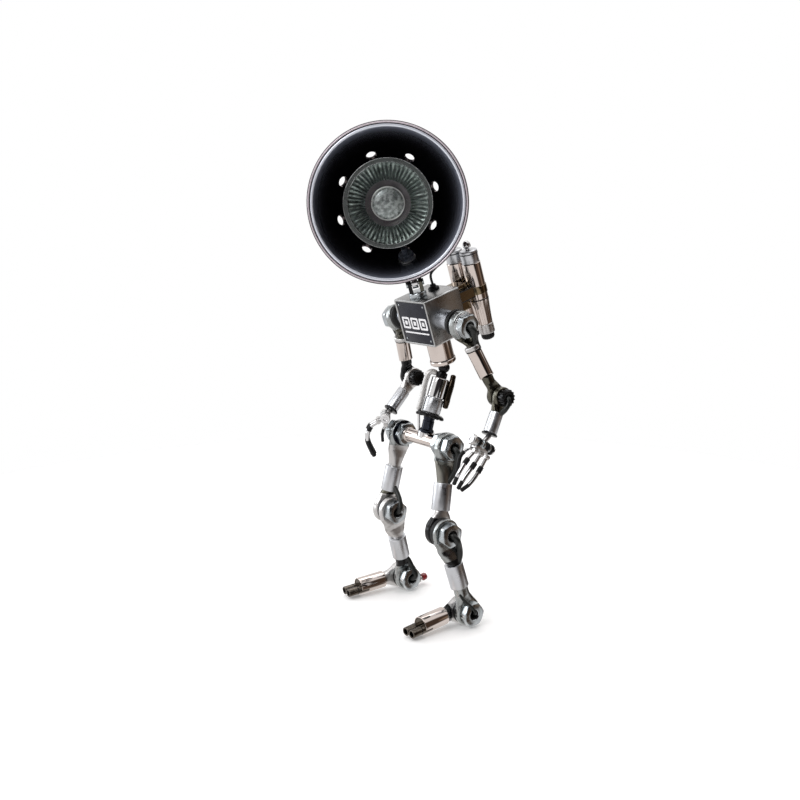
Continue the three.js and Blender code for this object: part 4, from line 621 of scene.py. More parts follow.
BD_ = V(0, math.cos(12 * D), math.sin(12 * D)); BT = LEG["right"]["ankle"] + V(0, 7.4, -5.0); BTM = frame_at(BT, BD_, AX)
for side in ("left", "right"):
    hip, knee, ankle, toe = (LEG[side][k] for k in ("hip", "knee", "ankle", "toe")); sg = 1 if side == "left" else -1
    knf = knee + V(PITCH, 0, 0); heel = ankle - V(PITCH, 0, 0)
    sr = lambda R_, ln, r=3.4: [[3, R_ - 0.6, 2.3], [R_ + 0.6, R_ - 0.5, 2.4], [R_ + 4.2, R_ - 1.5, 2.9], [R_ + 7.6, R_ - 2.8, 3.4], [21.0 if R_ == 8.0 else 18.9, 3.75, 3.5], [ln, r, r]]
    def link(top, bot):
        v = bot - top; dz = math.hypot(v.y, v.z); return v, dz, v.x / dz, v.length, V(0, v.y, v.z).normalized()
    v, dz, ln, tl, dn = link(hip, knee)
    H = MV(*hip) @ (Matrix.Identity(4) if sg > 0 else Matrix.Rotation(math.pi, 4, "Z"))
    piece("hip_nut_" + side, "pelvis", [(hexnut(13, 3.0, 7.7, 3.0), H @ RX @ Matrix.Rotation(0.2, 4, "Z"), "nut"), (ring(5.6, 3.0, 2.75, 3.1, 56, 0.1), H @ RX, "chrome_pure"),
                                    (lathe([(0, -2.8), (3.0, -2.8), (3.0, 6.9), (2.3, 6.9), (2.3, 2.0), (0, 2.0)], 40, 0.1), H @ RX, "black_metal")], "hip_bolt_" + side)
    HF = frame_x(hip, AX, dn)
    piece("thigh_forging_" + side, "thigh_" + side, [(eye(sr(8.0, 34), 8.0, 2.5, ln, end=27.2), HF, ("zinc", "olive_grey", 9.2) if side == "left" else ("zinc", "satin_light", 8.4))], "thigh_rod_end_" + side)
    KF = frame_x(knee, AX, -dn)
    tlz0, tlz1 = 11.7, tl - 21.8
    sleeve = lambda z0, z1, R_=5.5: lathe([(0, z0), (R_, z0), (R_, z1), (3.9, z1), (3.9, z1 - 1.6), (0, z1 - 1.6)], 72, 0.28)
    piece("thigh_sleeve_skin_" + side, "thigh_" + side, [(sleeve(tlz0, tlz1), KF @ lean_m(-ln), "satin")], "thigh_sleeve_" + side)
    piece("knee_fork_" + side, "thigh_" + side, [(eye([[3, 7.2, 2.3], [7.8, 6.6, 2.4], [11.2, 4.7, 3.9], [14.5, 4.5, 4.2]], 8.6, 2.5, -ln, end=12.9), KF, ("black_metal", "satin_light", 7.6) if side == "left" else ("satin_light", "olive", 9.6))])
    K = MV(*knee)
    piece("knee_nut_" + side, "thigh_" + side, [(hexnut(13, PITCH + 3.0, PITCH + 7.7, 3.0), K @ RX @ Matrix.Rotation(0.35, 4, "Z"), "nut"), (ring(5.7, 3.0, PITCH + 2.7, PITCH + 3.1, 56, 0.1), K @ RX, "chrome_pure"),
                                              (lathe([(0, -5.6), (4.4, -5.6), (5.6, -4.6), (5.6, -2.9), (3.0, -2.9), (3.0, PITCH + 6.9), (2.3, PITCH + 6.9), (2.3, PITCH + 2.0), (0, PITCH + 2.0)], 48, 0.15), K @ RX, "black_metal")], "knee_bolt_" + side)
    if side == "left": piece("knee_washer_left", "shin_left", [(ring(8.3, 4.0, 2.75, 5.7, 80, 0.3), K @ RX, "rubber")])
    else:
        piece("knee_washer_right", "shin_right", [(ring(8.0, 4.0, 2.75, 4.2, 80, 0.3), K @ RX, "black_metal")])
        piece("hip_washer_right", "thigh_right", [(ring(8.0, 4.0, 2.35, 3.05, 80, 0.25), H @ RX @ Matrix.Rotation(math.pi, 4, "X"), "blue_black")])
    v, dz2, ls, sl_, ds = link(knf, ankle)
    SF = frame_x(knf, AX, ds)
    piece("shin_forging_" + side, "shin_" + side, [(eye(sr(8.6, 30.5), 8.6, 1.5 if side == "left" else 2.1, ls, bw=1.8 if side == "left" else 2.4, end=26.4, edge=0.9), SF @ MV(1.0 if side == "left" else 0.4, 0, 0), ("zinc", "black_metal", 15.4) if side == "left" else "satin_light")], "shin_rod_end_" + side)
    AF = frame_x(ankle, AX, -ds)
    piece("shin_sleeve_skin_" + side, "shin_" + side, [(sleeve(16.6, sl_ - 19.6), AF @ lean_m(-ls), "satin")], "shin_sleeve_" + side)
    piece("ankle_fork_" + side, "shin_" + side, [(eye([[3, 6.8, 2.3], [7.3, 6.0, 2.4], [11.6, 4.3, 3.9], [19.0, 4.1, 4.1]], 8.0, 2.1, -ls, end=17.6), AF @ MV(0.3, 0, 0), "zinc" if side == "left" else ("zinc", "black_metal", 10.6))])
    A = MV(*ankle)
    piece("ankle_nut_" + side, "shin_" + side, [(hexnut(13, 3.0, 7.5, 3.0), A @ RX @ Matrix.Rotation(0.1, 4, "Z"), "nut"), (ring(5.6, 3.0, 2.7, 3.1, 56, 0.1), A @ RX, "chrome_pure"),
                                            (lathe([(0, -PITCH - 5.2), (4.2, -PITCH - 5.2), (5.2, -PITCH - 4.4), (5.2, -PITCH - 2.9), (3.0, -PITCH - 2.9), (3.0, 6.7), (2.3, 6.7), (2.3, 1.9), (0, 1.9)], 48, 0.15), A @ RX, "black_metal")], "ankle_bolt_" + side)
    piece("ankle_washer_" + side, "shin_" + side, [(ring(7.8, 4.0, -3.4, -2.0, 72, 0.3), A @ RX, "rubber")])
    # foot
    fd0 = V(math.sin(toe * D), -math.cos(toe * D), 0); fd = (fd0 + V(0, 0, -(heel.z - 5.3) / 31.4)).normalized(); lf = math.tan(toe * D)
    FM = frame_x(heel, AX, fd); LM = FM @ lean_m(lf)
    piece("foot_tube_" + side, "foot_" + side, [(lathe([(0, 12.4), (4.2, 12.4), (5.25, 13.7), (5.3, 14.2), (5.3, 31.3), (4.75, 31.3), (4.75, 28.0), (0, 28.0)], 80, 0.22), LM, "chrome")], "foot_" + side)
    # on the left heel the neck next to the tube is coloured black: painted shadow under the tube's rear end
    piece("foot_heel_" + side, "foot_" + side, [(eye([[3, 6.8, 2.3], [7.3, 6.0, 2.4], [11.4, 4.2, 3.9], [14.5, 4.1, 4.1]], 8.0, 2.5, lf, end=13.2), FM, ("satin_light", "black_metal", 8.8) if side == "left" else "satin_light")])
    toes = []
    for x in (-1, 1):
        toes.append((lathe([(0, 26.0), (2.5, 26.0), (2.5, 40.2), (1.75, 40.2), (1.75, 34.5), (0, 34.5)], 48, 0.18), LM @ MV(x * 2.65, -1.2, 0), "gun"))
        toes.append((ring(2.6, 2.2, 33.4, 33.9, 40, 0.1), LM @ MV(x * 2.65, -1.2, 0), "black_metal"))
    toes.append((lathe([(0, 28.0), (4.6, 28.0), (4.6, 31.0), (0, 31.0)], 48, 0.15), LM, "gun"))
    piece("toe_pair_" + side, "foot_" + side, toes, "toes_" + side)
    # wiring in the joints
    n_out = V(1, 0, 0)
    if side == "left":
        p = hip
        pts = [p + V(2.5, 0, 0), p + V(6.5, 0.1, -0.2), p + V(9.3, 1.0, -2.6), p + dn * 8 + V(7.8, 3.0, 0), p + dn * 15 + V(4.6 + ln * 15, 3.6, 0), p + dn * 22.0 + V(1.8 + ln * 22, 1.4, 0)]
        cable("hip_cable_left", "thigh_left", pts, 1.6)
        p = knf
        pts = [p + V(1.5, 0, 0), p + V(6.5, 0.4, 0.2), p + V(8.8, 2.2, -2.2), p + ds * 8 + V(6.6, 3.6, 0), p + ds * 14 + V(4.4 + ls * 14, 3.2, 0), p + ds * 20.2 + V(1.8 + ls * 20, 1.2, 0)]
        cable("knee_cable_left", "shin_left", pts, 1.75)
        p = ankle
        pts = [p + V(1.5, 0, 0), p + V(6.3, 0.2, 0.2), p + V(8.8, -0.5, 1.9), p + V(8.0, -2.0, 5.0), p - ds * 11 + V(3.5 - ls * 11, -3.0, 0), p - ds * 17 + V(1.0 - ls * 17, -1.6, 0)]
        cable("ankle_cable_left", "shin_left", pts, 0.85)
    else:
        p = knf
        pts = [p + V(1.5, 0, 0), p + V(6.4, 0.3, 0), p + V(8.5, 0.9, 2.2), p - dn * 7.5 + V(6.2, 0.8, 0), p - dn * 11.0 + V(2.6 - ln * 10, 0.6, 0), p - dn * 14.6 + V(-1.6 - ln * 13, 0.2, 0)]
        cable("knee_cable_right", "thigh_right", pts, 1.6)
        p = ankle
        pts = [p + V(1.5, 0, 0), p + V(6.2, 0.3, 0), p + V(8.6, 1.8, 2.2), p - ds * 9 + V(5.6, 3.4, 0), p - ds * 13.5 + V(2.4 - ls * 14, 3.0, 0), p - ds * 17.5 + V(0.4 - ls * 18, 1.0, 0)]
        cable("ankle_cable_right", "shin_right", pts, 1.6)
        hp = hip
        cable("hip_cable_right", "thigh_right", [hp + V(-2.5, 0, 0), hp + V(-6.6, 0, -0.2), hp + V(-8.6, 1.2, -2.4), hp + dn * 10 + V(-6.4, 2.6, 0), hp + dn * 17 + V(-3.8 + ln * 17, 3.6, 0), hp + dn * 24.5 + V(-1.8 + ln * 24, 1.6, 0)], 1.35)
        gr = lathe([(0, 12.2 - 3.4), (4.3, 12.2 - 3.4), (5.0, 11.5), (0, 11.8)], 40, 0.3)
piece("button_housing", "shin_right", [(lathe([(0, -2.0), (2.3, -2.0), (2.3, 3.4), (1.6, 3.8), (1.6, 2.4), (0, 2.4)], 40, 0.15), BTM, "satin_light")])
piece("button_cap", "button", [(lathe([(0, 4.0), (1.15, 4.0), (1.15, 5.5), (0, 5.6)], 32, 0.1), BTM, "stub"), (lathe([(0, 5.5), (2.2, 5.6), (2.35, 6.2), (2.3, 8.1), (1.7, 8.9), (0, 9.1)], 48, 0.35), BTM, "red")], "power_button")

# ------------------------------------------------------------------ arms
OUT = {"left": TL * math.cos(8 * D) - TU * math.sin(8 * D), "right": -TL * math.cos(8 * D) - TU * math.sin(8 * D)}
SHO = {"left": tpt(30, 3.2, -2.0), "right": tpt(-30, 3.2, -2.0)}
HAND = {"left": dict(c=V(50.2, 9.6, 110.4), a=V(0, -0.857, 0.516), d=dict(
            thumb=(1.15, [V(47.6, 4.6, 109.6), V(45.6, -1.3, 105.0), V(45.3, -2.7, 100.5), V(44.5, -3.0, 95.5)]),
            finger_1=(1.3, [V(50.6, 5.0, 108.0), V(50.9, -1.6, 102.7), V(50.8, -6.8, 96.3), V(49.1, -8.8, 90.3)]),
            finger_2=(1.3, [V(50.8, 9.0, 105.8), V(51.8, 2.7, 99.6), V(51.4, -3.3, 93.2), V(50.1, -6.6, 87.6)]),
            finger_3=(1.3, [V(50.9, 13.2, 103.4), V(52.3, 7.3, 97.1), V(52.5, 0.3, 90.1), V(50.8, -4.7, 86.4)])))}
_c, _u, _a = V(-32, -1.0, 114.6), V(-0.555, -0.832, 0), V(0.832, -0.555, 0)
_P = lambda k, du, dz_: _c + _a * k + _u * du + V(0, 0, dz_)
HAND["right"] = dict(c=_c, a=_a, d=dict(
    thumb=(1.15, [_P(1.6, -0.2, -3.8), _P(1.8, 0.9, -7.2), _P(1.8, 1.9, -11.0), _P(1.8, 1.7, -15.4)]),
    finger_1=(1.3, [_P(4.9, 2.9, -1.6), _P(4.4, 9.4, -6.4), _P(3.8, 11.0, -14.6), _P(3.4, 7.0, -24.2)]),
    finger_2=(1.3, [_P(0.6, 3.1, -1.4), _P(0.6, 9.8, -5.8), _P(0.6, 11.6, -14.0), _P(0.6, 8.0, -23.8)]),
    finger_3=(1.3, [_P(-4.0, 2.9, -1.6), _P(-3.6, 9.4, -6.4), _P(-3.0, 11.0, -14.6), _P(-2.6, 7.0, -24.2)])))
EP = 4.9
for side in ("left", "right"):
    sh, out, el, wr = SHO[side], OUT[side], ARM[side]["elbow"], ARM[side]["wrist"]; sg = 1 if side == "left" else -1
    axis = out * sg; M = frame_at(sh, out, V(0, 0, 1)); wg = (30 - TW / 2) / math.cos(8 * D)
    piece("shoulder_boss_" + side, "torso", [(lathe([(0, -wg - 0.3), (6.0, -wg - 0.3), (6.0, -6.9), (0, -6.9)], 72, 0.25), M, "boss"),
                                          (lathe([(0, -7.2), (5.6, -7.2), (7.0, -6.5), (7.8, -5.0), (7.9, -3.2), (0, -3.2)], 72, 0.5), M, "rubber")])
    piece("shoulder_nut_" + side, "torso", [(hexnut(13, 3.0, 7.4, 3.0), M @ Matrix.Rotation(0.25, 4, "Z"), "nut"), (ring(6.6, 3.0, 2.7, 3.15, 64, 0.12), M, "chrome_pure"),
                                          (lathe([(0, -3.3), (3.0, -3.3), (3.0, 6.7), (2.3, 6.7), (2.3, 1.9), (0, 1.9)], 40, 0.1), M, "black_metal")], "shoulder_bolt_" + side)
    v = el + V(-EP, 0, 0) - sh; k = v.dot(axis); w = v - axis * k; dz = w.length; ln = k / dz
    UF = frame_x(sh, axis, w)
    piece("shoulder_eye_" + side, "upper_arm_" + side, [(eye([[3, 6.5, 2.3], [7.2, 5.8, 2.4], [10.2, 4.0, 3.4], [12.4, 2.9, 2.9], [24, 2.5, 2.5]], 7.9, 2.5, ln, end=19.5, h=0.38), UF, ("zinc", "olive", 6.6)),
                                                       (ring(7.2, 5.2, 2.1, 2.72, 64, 0.15), UF @ RX @ (Matrix.Identity(4) if sg > 0 else Matrix.Rotation(math.pi, 4, "X")), "chrome_pure")], "upper_arm_rod_end_" + side)
    inn = el - V(EP, 0, 0); up = sh - inn; ku = up.x; wu = V(0, up.y, up.z); L2 = up.length; lu = ku / wu.length
    EF = frame_x(inn, AX, wu); ELM = EF @ lean_m(lu)
    slant = lambda r, z, a: (r, z + (1.5 * math.cos(a + 0.5) if r > 3.5 and z < 13 else 0))
    piece("upper_arm_tube_skin_" + side, "upper_arm_" + side, [(lathe([(0, 12.4), (3.7, 12.2), (4.3, 12.6), (4.3, L2 - 15.8), (0, L2 - 15.8)], 72, 0.2, mod=slant), ELM, "chrome")], "upper_arm_tube_" + side)
    piece("upper_arm_collar_" + side, "upper_arm_" + side, [(lathe([(0, L2 - 16.4), (4.55, L2 - 16.4), (4.75, L2 - 15.9), (4.75, L2 - 14.3), (4.3, L2 - 13.8), (0, L2 - 13.8)], 64, 0.25), ELM, "satin_light"),
                                                          (ring(4.62, 3.9, L2 - 16.9, L2 - 16.3, 64, 0.1), ELM, "black_metal")])
    piece("elbow_inner_eye_" + side, "upper_arm_" + side, [(eye([[1.5, 5.0, 1.8], [4.6, 4.6, 1.8], [6.6, 3.9, 2.4], [9.0, 3.3, 3.0], [14, 3.3, 3.3]], 5.9, 1.9, lu, bore=1.9, land=4.2, bw=2.1, end=12.9, h=0.34, blend=1.2, edge=0.9), EF, "olive" if side == "left" else "black_metal")])
    E = MV(*el)
    kz = lambda r, z, a: (r * (1 + (0.06 * (1 if math.cos(14 * a) > 0 else -1) if r > 3.6 else 0)), z)
    piece("elbow_knob_grip_" + side, "upper_arm_" + side, [(lathe([(0, 2.35), (4.1, 2.35), (4.75, 2.6), (4.8, 5.6), (4.1, 6.2), (2.6, 6.2), (2.3, 4.9), (0, 4.9)], 112, 0.12, mod=kz), E @ RX, "black_metal"),
                                                        (lathe([(0, -EP - 4.0), (2.6, -EP - 4.0), (3.4, -EP - 3.4), (3.4, -EP - 2.3), (1.6, -EP - 2.2), (1.6, 2.4), (0, 2.4)], 48, 0.12), E @ RX, "black_metal")], "elbow_knob_" + side)
    f_ = wr - el; kf = f_.x; wf = V(0, f_.y, f_.z); lf = kf / wf.length
    GF = frame_x(el, AX, wf); GL = GF @ lean_m(lf)
    piece("forearm_eye_" + side, "forearm_" + side, [(eye([[1.5, 5.0, 1.8], [4.6, 4.9, 1.8], [7.0, 4.4, 2.3], [9.6, 3.7, 2.8], [f_.length - 10.5, 3.3, 3.0]], 5.9, 1.9, lf, bore=1.9, land=4.2, bw=2.1, end=f_.length - 11.6, h=0.34, blend=1.2, edge=0.9), GF, "olive" if side == "left" else "satin_light")], "forearm_" + side)
    piece("forearm_sleeve_" + side, "forearm_" + side, [(lathe([(0, f_.length - (13.0 if side == "left" else 15.0)), (3.9, f_.length - (13.0 if side == "left" else 15.0)), (3.9, f_.length - 0.9), (0, f_.length - 0.9)], 72, 0.3), GL, "satin")])
    piece("wrist_washer_" + side, "forearm_" + side, [(lathe([(0, f_.length - 1.2), (2.4, f_.length - 1.0), (2.6, f_.length - 0.7), (4.4, f_.length - 0.6), (4.7, f_.length - 0.1), (4.5, f_.length + 0.5), (0, f_.length + 0.7)], 64, 0.2), GL, "black_metal")])
    fdn = f_.normalized()
    if side == "left":
        pts = [el + V(3.6, 0, 0), el + V(5.6, 0, -0.2), el + V(6.4, -0.3, -2.6), el + fdn * 7 + V(5.2, 0.8, 0), el + fdn * 10.4 + V(2.4, 0.6, 0)]
        cable("elbow_cable_left", "forearm_left", pts, 1.55)
        pts = [sh + out * 2.5, sh + out * 7.0, sh + out * 9.0 + V(0, 1.2, -1.8), sh + w.normalized() * 9 + out * 7.2 + V(0, 1.8, 0), sh + w.normalized() * 14.5 + axis * (ln * 14 + 3.0) + V(0, 0.8, 0)]
        cable("shoulder_cable_left", "upper_arm_left", pts, 2.0)
    else:
        s0 = sh + out * 2.0
        cable("shoulder_cable_right", "upper_arm_right", [s0 + out * 0.5, sh + out * 7.2, sh + out * 9.2 + V(0, -0.8, -1.4), sh + w.normalized() * 8 + out * 7.6 + V(0, -1.4, 0), sh + w.normalized() * 15 + axis * (ln * 14) + out * 2.6 + V(0, -0.6, 0)], 1.2)
    # hand
    Hd = HAND[side]; PMx = frame_x(Hd["c"], Hd["a"], -fdn)
    parts = []
    for i in range(5):
        c = (i - 2) * 3.5
        parts.append((lathe([(0, c - 1.15), (2.7, c - 1.15), (3.15, c - 0.75), (3.15, c + 0.75), (2.7, c + 1.15), (0, c + 1.15)], 44, 0.2), PMx @ RX, (("black_metal", "black_metal", "nut", "black_metal", "satin_light") if side == "left" else ("satin_light", "nut", "satin_light", "nut", "satin_light"))[i]))
        if i < 4: parts.append((lathe([(0, c + 1.0), (2.75, c + 1.0), (2.75, c + 2.5), (0, c + 2.5)], 44, 0.15), PMx @ RX, "nut" if side == "left" and i != 1 else "black_metal"))
    piece("hand_links_" + side, "hand_" + side, parts, "palm_" + side)
    fork = []
    fork.append((tf(slab(10.0, 4.6, 2.2, 0.9, 0.3), MV(0, 0, -3.6)), PMx, "satin_light"))
    st = el + fdn * (f_.length + 1.1)
    fork.append((sweep([Hd["c"], (Hd["c"] + st) / 2, st], 1.55, 24), None, "satin_light"))
    for e_ in (-1, 1):
        fork.append((lathe([(0, 0), (2.7, 0), (2.9, 0.4), (2.7, 0.9), (1.3, 0.9), (1.1, 0.3), (0, 0.3)], 36, 0.15), PMx @ RX @ MV(0, 0, 8.2) if e_ > 0 else PMx @ RX @ MV(0, 0, -8.2) @ Matrix.Rotation(math.pi, 4, "X"), "chrome_pure"))
    piece("hand_frame_" + side, "hand_" + side, fork)
    for n_, (r_, ps) in Hd["d"].items():
        ps = [q.copy() for q in ps]; rel = ps[0] - Hd["c"]; a_ = Hd["a"] * rel.dot(Hd["a"]); rj = (rel - a_).normalized() * 4.95; ps[0] = Hd["c"] + a_ + rj
        full = spline(ps, 40); body_ = "digit_%s_%s" % (n_, side)
        cum = [0]
        for i in range(1, len(full)): cum.append(cum[-1] + (full[i] - full[i - 1]).length)
        tot = cum[-1]
        def part(a, b):
            q = []
            for i in range(len(full) - 1):
                s0, s1 = cum[i] / tot, cum[i + 1] / tot
                if s1 < a or s0 > b: continue
                if not q: q.append(full[i].lerp(full[i + 1], max(0, (a - s0) / (s1 - s0))))
                q.append(full[i + 1].lerp(full[i], max(0, (s1 - b) / (s1 - s0))) if s1 > b else full[i + 1])
            return q
        if n_ == "thumb":
            sec = [(0, 0.30, r_ * 0.85, "chrome_pure"), (0.28, 1.0, r_ * (1.05 if side == "left" else 0.86), "rubber")]
        elif side == "left":
            sec = [(0, 0.30, r_ * 0.80, "chrome_pure"), (0.28, 0.44, r_ * 1.18, "rubber"), (0.42, 0.80, r_ * 0.98, "chrome_pure"), (0.78, 1.0, r_ * 0.92, "rubber")]
        else:
            sec = [(0, 0.24, r_ * 0.80, "chrome_pure"), (0.22, 0.34, r_ * 1.18, "rubber"), (0.32, 0.62, r_ * 0.95, "chrome_pure"), (0.60, 1.0, r_ * 1.08, "rubber")]
        parts = [(sweep(part(a, b), rr_, 18, "round" if b == 1.0 else "flat"), None, m_) for a, b, rr_, m_ in sec]
        kn = Hd["a"]
        parts.append((rod(1.45, -1.5, 1.5, 28, 0.2), frame_at(ps[0], kn, V(0, 0, 1)), "satin_light"))
        piece("%s_%s_jointed" % (n_, side), body_, parts, "%s_%s" % (n_, side))

# ------------------------------------------------------------------ head
Ri, DP, T_, REAR = 46.0 - 2.6, 50.0, 1.1, 17.2
prof = lambda Rr, Dd, d: Rr * math.sqrt(max(0, 1 - (d / Dd) ** 2))
dEnd = DP * math.sqrt(1 - (REAR / (Ri + T_)) ** 2)
# the bowl with its eight vents cut as real holes
VENT = []
for i in range(8):
    a = (19.5 + 45 * i) * D; d = 36.0; r = prof(Ri, DP, d); nn = V(r / Ri ** 2, 0, d / DP ** 2).normalized()
    VENT.append((V(r * math.cos(a), r * math.sin(a), -d), V(nn.x * math.cos(a), nn.x * math.sin(a), -nn.z)))
def bowl(seg=288):
    """Grid of the bowl in (turn, depth); cells inside a vent are left out and the edge points are moved on to the hole."""
    def P(u, t, Rr, Dd):
        d = 1.2 + (dEnd - 1.2) * math.sin(t * math.pi / 2); q = prof(Rr, Dd, min(d, Dd - 1.5)); return V(q * math.cos(u), q * math.sin(u), -d)
    rows = 64; vin, vout, keep = [], [], []
    for j in range(rows + 1):
        for i in range(seg):
            u = 2 * math.pi * i / seg; t = j / rows
            p, q = P(u, t, Ri, DP - T_), P(u, t, Ri + T_, DP); hole = 0
            for c, nrm in VENT:
                w = p - c; w2 = w - nrm * w.dot(nrm); dl = w2.length
                if dl < 3.1 * 0.62: hole = 2
                elif dl < 3.1 * 1.30:
                    hole = 1; k = 3.1 if dl < 3.1 * 1.0 else dl
                    if dl < 3.1:
                        mv = w2.normalized() * (3.1 - dl); p = p + mv; q = q + mv
                if hole: break
            vin.append(p); vout.append(q); keep.append(hole == 2 or (hole == 1 and (P(u, t, Ri, DP - T_) - p).length > 1e-6))
    verts = [tuple(p) for p in vin] + [tuple(p) for p in vout]; N = len(vin); fi, fo = [], []
    edge = {}
    for j in range(rows):
        for i in range(seg):
            a, b, c, d = j * seg + i, j * seg + (i + 1) % seg, (j + 1) * seg + (i + 1) % seg, (j + 1) * seg + i
            if sum(keep[x] for x in (a, b, c, d)) == 4: continue
            fi.append((a, b, c, d)); fo.append((d + N, c + N, b + N, a + N))
            for e0, e1 in ((a, b), (b, c), (c, d), (d, a)): edge.setdefault((min(e0, e1), max(e0, e1)), []).append((e0, e1))
    walls = [(e[0][1], e[0][0], e[0][0] + N, e[0][1] + N) for k_, e in edge.items() if len(e) == 1]
    return verts, fi, fo, walls
bv, fi, fo, walls = bowl()
piece("shade_bowl_inner", "head", [((bv, fi), HM, "shade_in")], "lamp_shade", sharp=50)
bpy.data.objects["shade_bowl_inner"].data
piece("shade_bowl_outer", "head", [((bv, fo + walls), HM, "shade_out")], sharp=50)
bead = lambda r0, z0, a, b: [(r0 + a * math.cos(t * D), z0 + b * math.sin(t * D)) for t in range(0, 360, 20)]
# the rim is drawn as bands whose colours are painted reflections of the chrome lip, with a painted highlight on the
# bead
piece("shade_rim_band", "head", [(lathe([(45.1, -3.0), (45.5, -2.9), (45.6, -2.2), (45.6, -0.9), (45.4, -0.3), (45.0, 0.0), (44.6, -0.3), (44.45, -1.2), (44.5, -2.6)], 256, 0.25, closed=True), HM, "rim_band"), (lathe([(45.55, -3.6), (46.0, -3.0), (46.05, -1.6), (45.95, -0.9), (45.5, -0.55), (45.3, -1.4), (45.2, -3.2)], 256, 0.15, closed=True), HM, "rim_edge")])
piece("shade_rim_line", "head", [(ring(44.55, 43.6, -1.9, -0.75, 256, 0.15), HM, "rim_line")])
piece("shade_rim_bead", "head", [(lathe(bead(43.2, -0.8, 0.85, 0.8), 256, 0, closed=True), HM, "rim_bead")])
piece("shade_rim_back", "head", [(lathe([(43.0, -1.0), (45.6, -2.6), (45.2, -3.4), (44.35, -3.9), (42.9, -2.0)], 256, 0.2, closed=True), HM, "shade_out")])
# lamp: glass front, fluted mirror, dark throat, capsule lens
FR = 8.0
flute = lambda r, z, a: (r, z + 0.55 * math.cos(56 * a) * (1 if 13.5 < r < 22.5 else 0) * min(1, (r - 13.5) / 2, (22.5 - r) / 1.0 + 0.2))
refl = [(0, -FR - 12.2), (9.2, -FR - 12.0), (10.6, -FR - 11.2), (13.4, -FR - 9.6), (15.2, -FR - 8.4), (17.2, -FR - 6.8), (19.2, -FR - 5.1), (21.2, -FR - 3.4), (22.6, -FR - 2.3), (23.9, -FR - 1.7)]
# the flutes are real ribs; their bright and dark stripes are painted reflections
piece("lamp_reflector", "head", [(lathe([p for p in refl if p[0] > 13], 448, 0, mod=flute), HM, "reflector")], "reflector_lamp", sharp=30)
piece("lamp_throat", "head", [(lathe(refl[:4] + [(13.4, -FR - 9.9)], 96, 0.3), HM, "lamp_dark")])
piece("lamp_capsule", "head", [(lathe([(0, -FR - 7.6), (3.0, -FR - 7.7), (6.0, -FR - 8.3), (8.2, -FR - 9.3), (9.3, -FR - 10.4), (9.4, -FR - 12.0), (0, -FR - 12.0)], 72, 0.4), HM, "capsule"), (ring(9.9, 9.2, -FR - 11.6, -FR - 9.9, 72, 0.3), HM, "satin_light")])
piece("lamp_glass_ring", "head", [(ring(25.9, 23.3, -FR - 3.2, -FR - 1.0, 160, 0.3), HM, "lamp_outer")])
piece("lamp_glass_edge", "head", [(lathe(bead(25.7, -FR - 1.05, 0.24, 0.24), 160, 0, closed=True), HM, "zinc"), (lathe(bead(23.4, -FR - 0.95, 0.14, 0.14), 160, 0, closed=True), HM, "zinc")])
piece("lamp_front_glass", "head", [(lathe([(0, -FR + 0.4), (12, -FR + 0.1), (22.6, -FR - 0.5), (23.6, -FR - 0.9), (23.6, -FR - 1.9), (22.6, -FR - 1.7), (12, -FR - 0.9), (0, -FR - 0.6)], 120, 0.1), HM, "glass")])
piece("lamp_shell", "head", [(lathe([(23.9, -FR - 1.9), (25.4, -FR - 2.2), (25.0, -FR - 4.2), (24.2, -FR - 8.0), (21.5, -FR - 15.0), (16.0, -FR - 22.5), (10.6, -FR - 27.5), (9.8, -FR - 29.5), (9.8, -dEnd - 6.3), (0, -dEnd - 6.3)], 96, 0.2), HM, "lamp_dark")])
rz = -dEnd
piece("rear_cap", "head", [(lathe([(16.0, rz + 0.1), (REAR + 0.8, rz + 0.1), (REAR + 0.8, rz - 1.9), (REAR - 0.5, rz - 2.5), (REAR - 0.5, rz - 20.8), (REAR - 2.0, rz - 23.6), (10.0, rz - 25.2), (2.3, rz - 25.5), (2.3, rz - 24.2), (9.6, rz - 23.8), (15.2, rz - 20.4), (15.2, rz - 0.2)], 112, 0.5, closed=True), HM, "satin")], "rear_housing")
piece("rear_cap_lines", "head", [(ring(REAR - 0.4, REAR - 1.2, rz - z_, rz - z_ - 0.5, 112, 0.1), HM, "black_metal") for z_ in (6.5, 8.0, 9.5)])
piece("rear_cap_plug", "head", [(lathe([(0, rz - 24.4), (2.25, rz - 24.4), (2.6, rz - 25.4), (1.6, rz - 26.0), (0, rz - 26.0)], 32, 0.2), HM, "rubber")])
piece("lamp_socket", "head", [(lathe([(0, rz - 20.0), (9.0, rz - 20.0), (12.4, rz - 18.0), (12.4, rz - 6.6), (0, rz - 6.6)], 56, 0.5), HM, "ceramic")], "lamp_holder")
# neck bracket, nut inside the shade
BDp, BA = 30.0, math.atan2(-30.6, 10.6); br = prof(Ri + T_, DP, BDp); bn = V(br / Ri ** 2, 0, BDp / DP ** 2).normalized()
bdir = V(bn.x * math.cos(BA), bn.x * math.sin(BA), -bn.z); bp_ = V(br * math.cos(BA), br * math.sin(BA), -BDp); BMt = frame_at(bp_, bdir, V(0, 0, 1))
N0 = tpt(0, NECK_F, TH / 2); N1 = N0 + TU * NECK_UP; TILT = (HB - TU * HB.dot(TU)).normalized()
inv = HM.inverted(); n1 = inv @ N1; tax = (inv.to_3x3() @ TILT); q = bp_ + bdir * 2.0
rad = lambda d, r, a: V(r * math.cos(a), r * math.sin(a), -d)
a1 = math.atan2(n1.y, n1.x); am = (a1 + BA) / 2
up_ = rad(-n1.z + 6, math.hypot(n1.x, n1.y) + 0.8, a1 * 0.75 + BA * 0.25) - n1
bar = [n1, n1 + up_ * 0.6, rad(20.5, 46.2, am), rad(27.5, 42.3, BA * 0.85 + am * 0.15), q + bdir * 1.5]
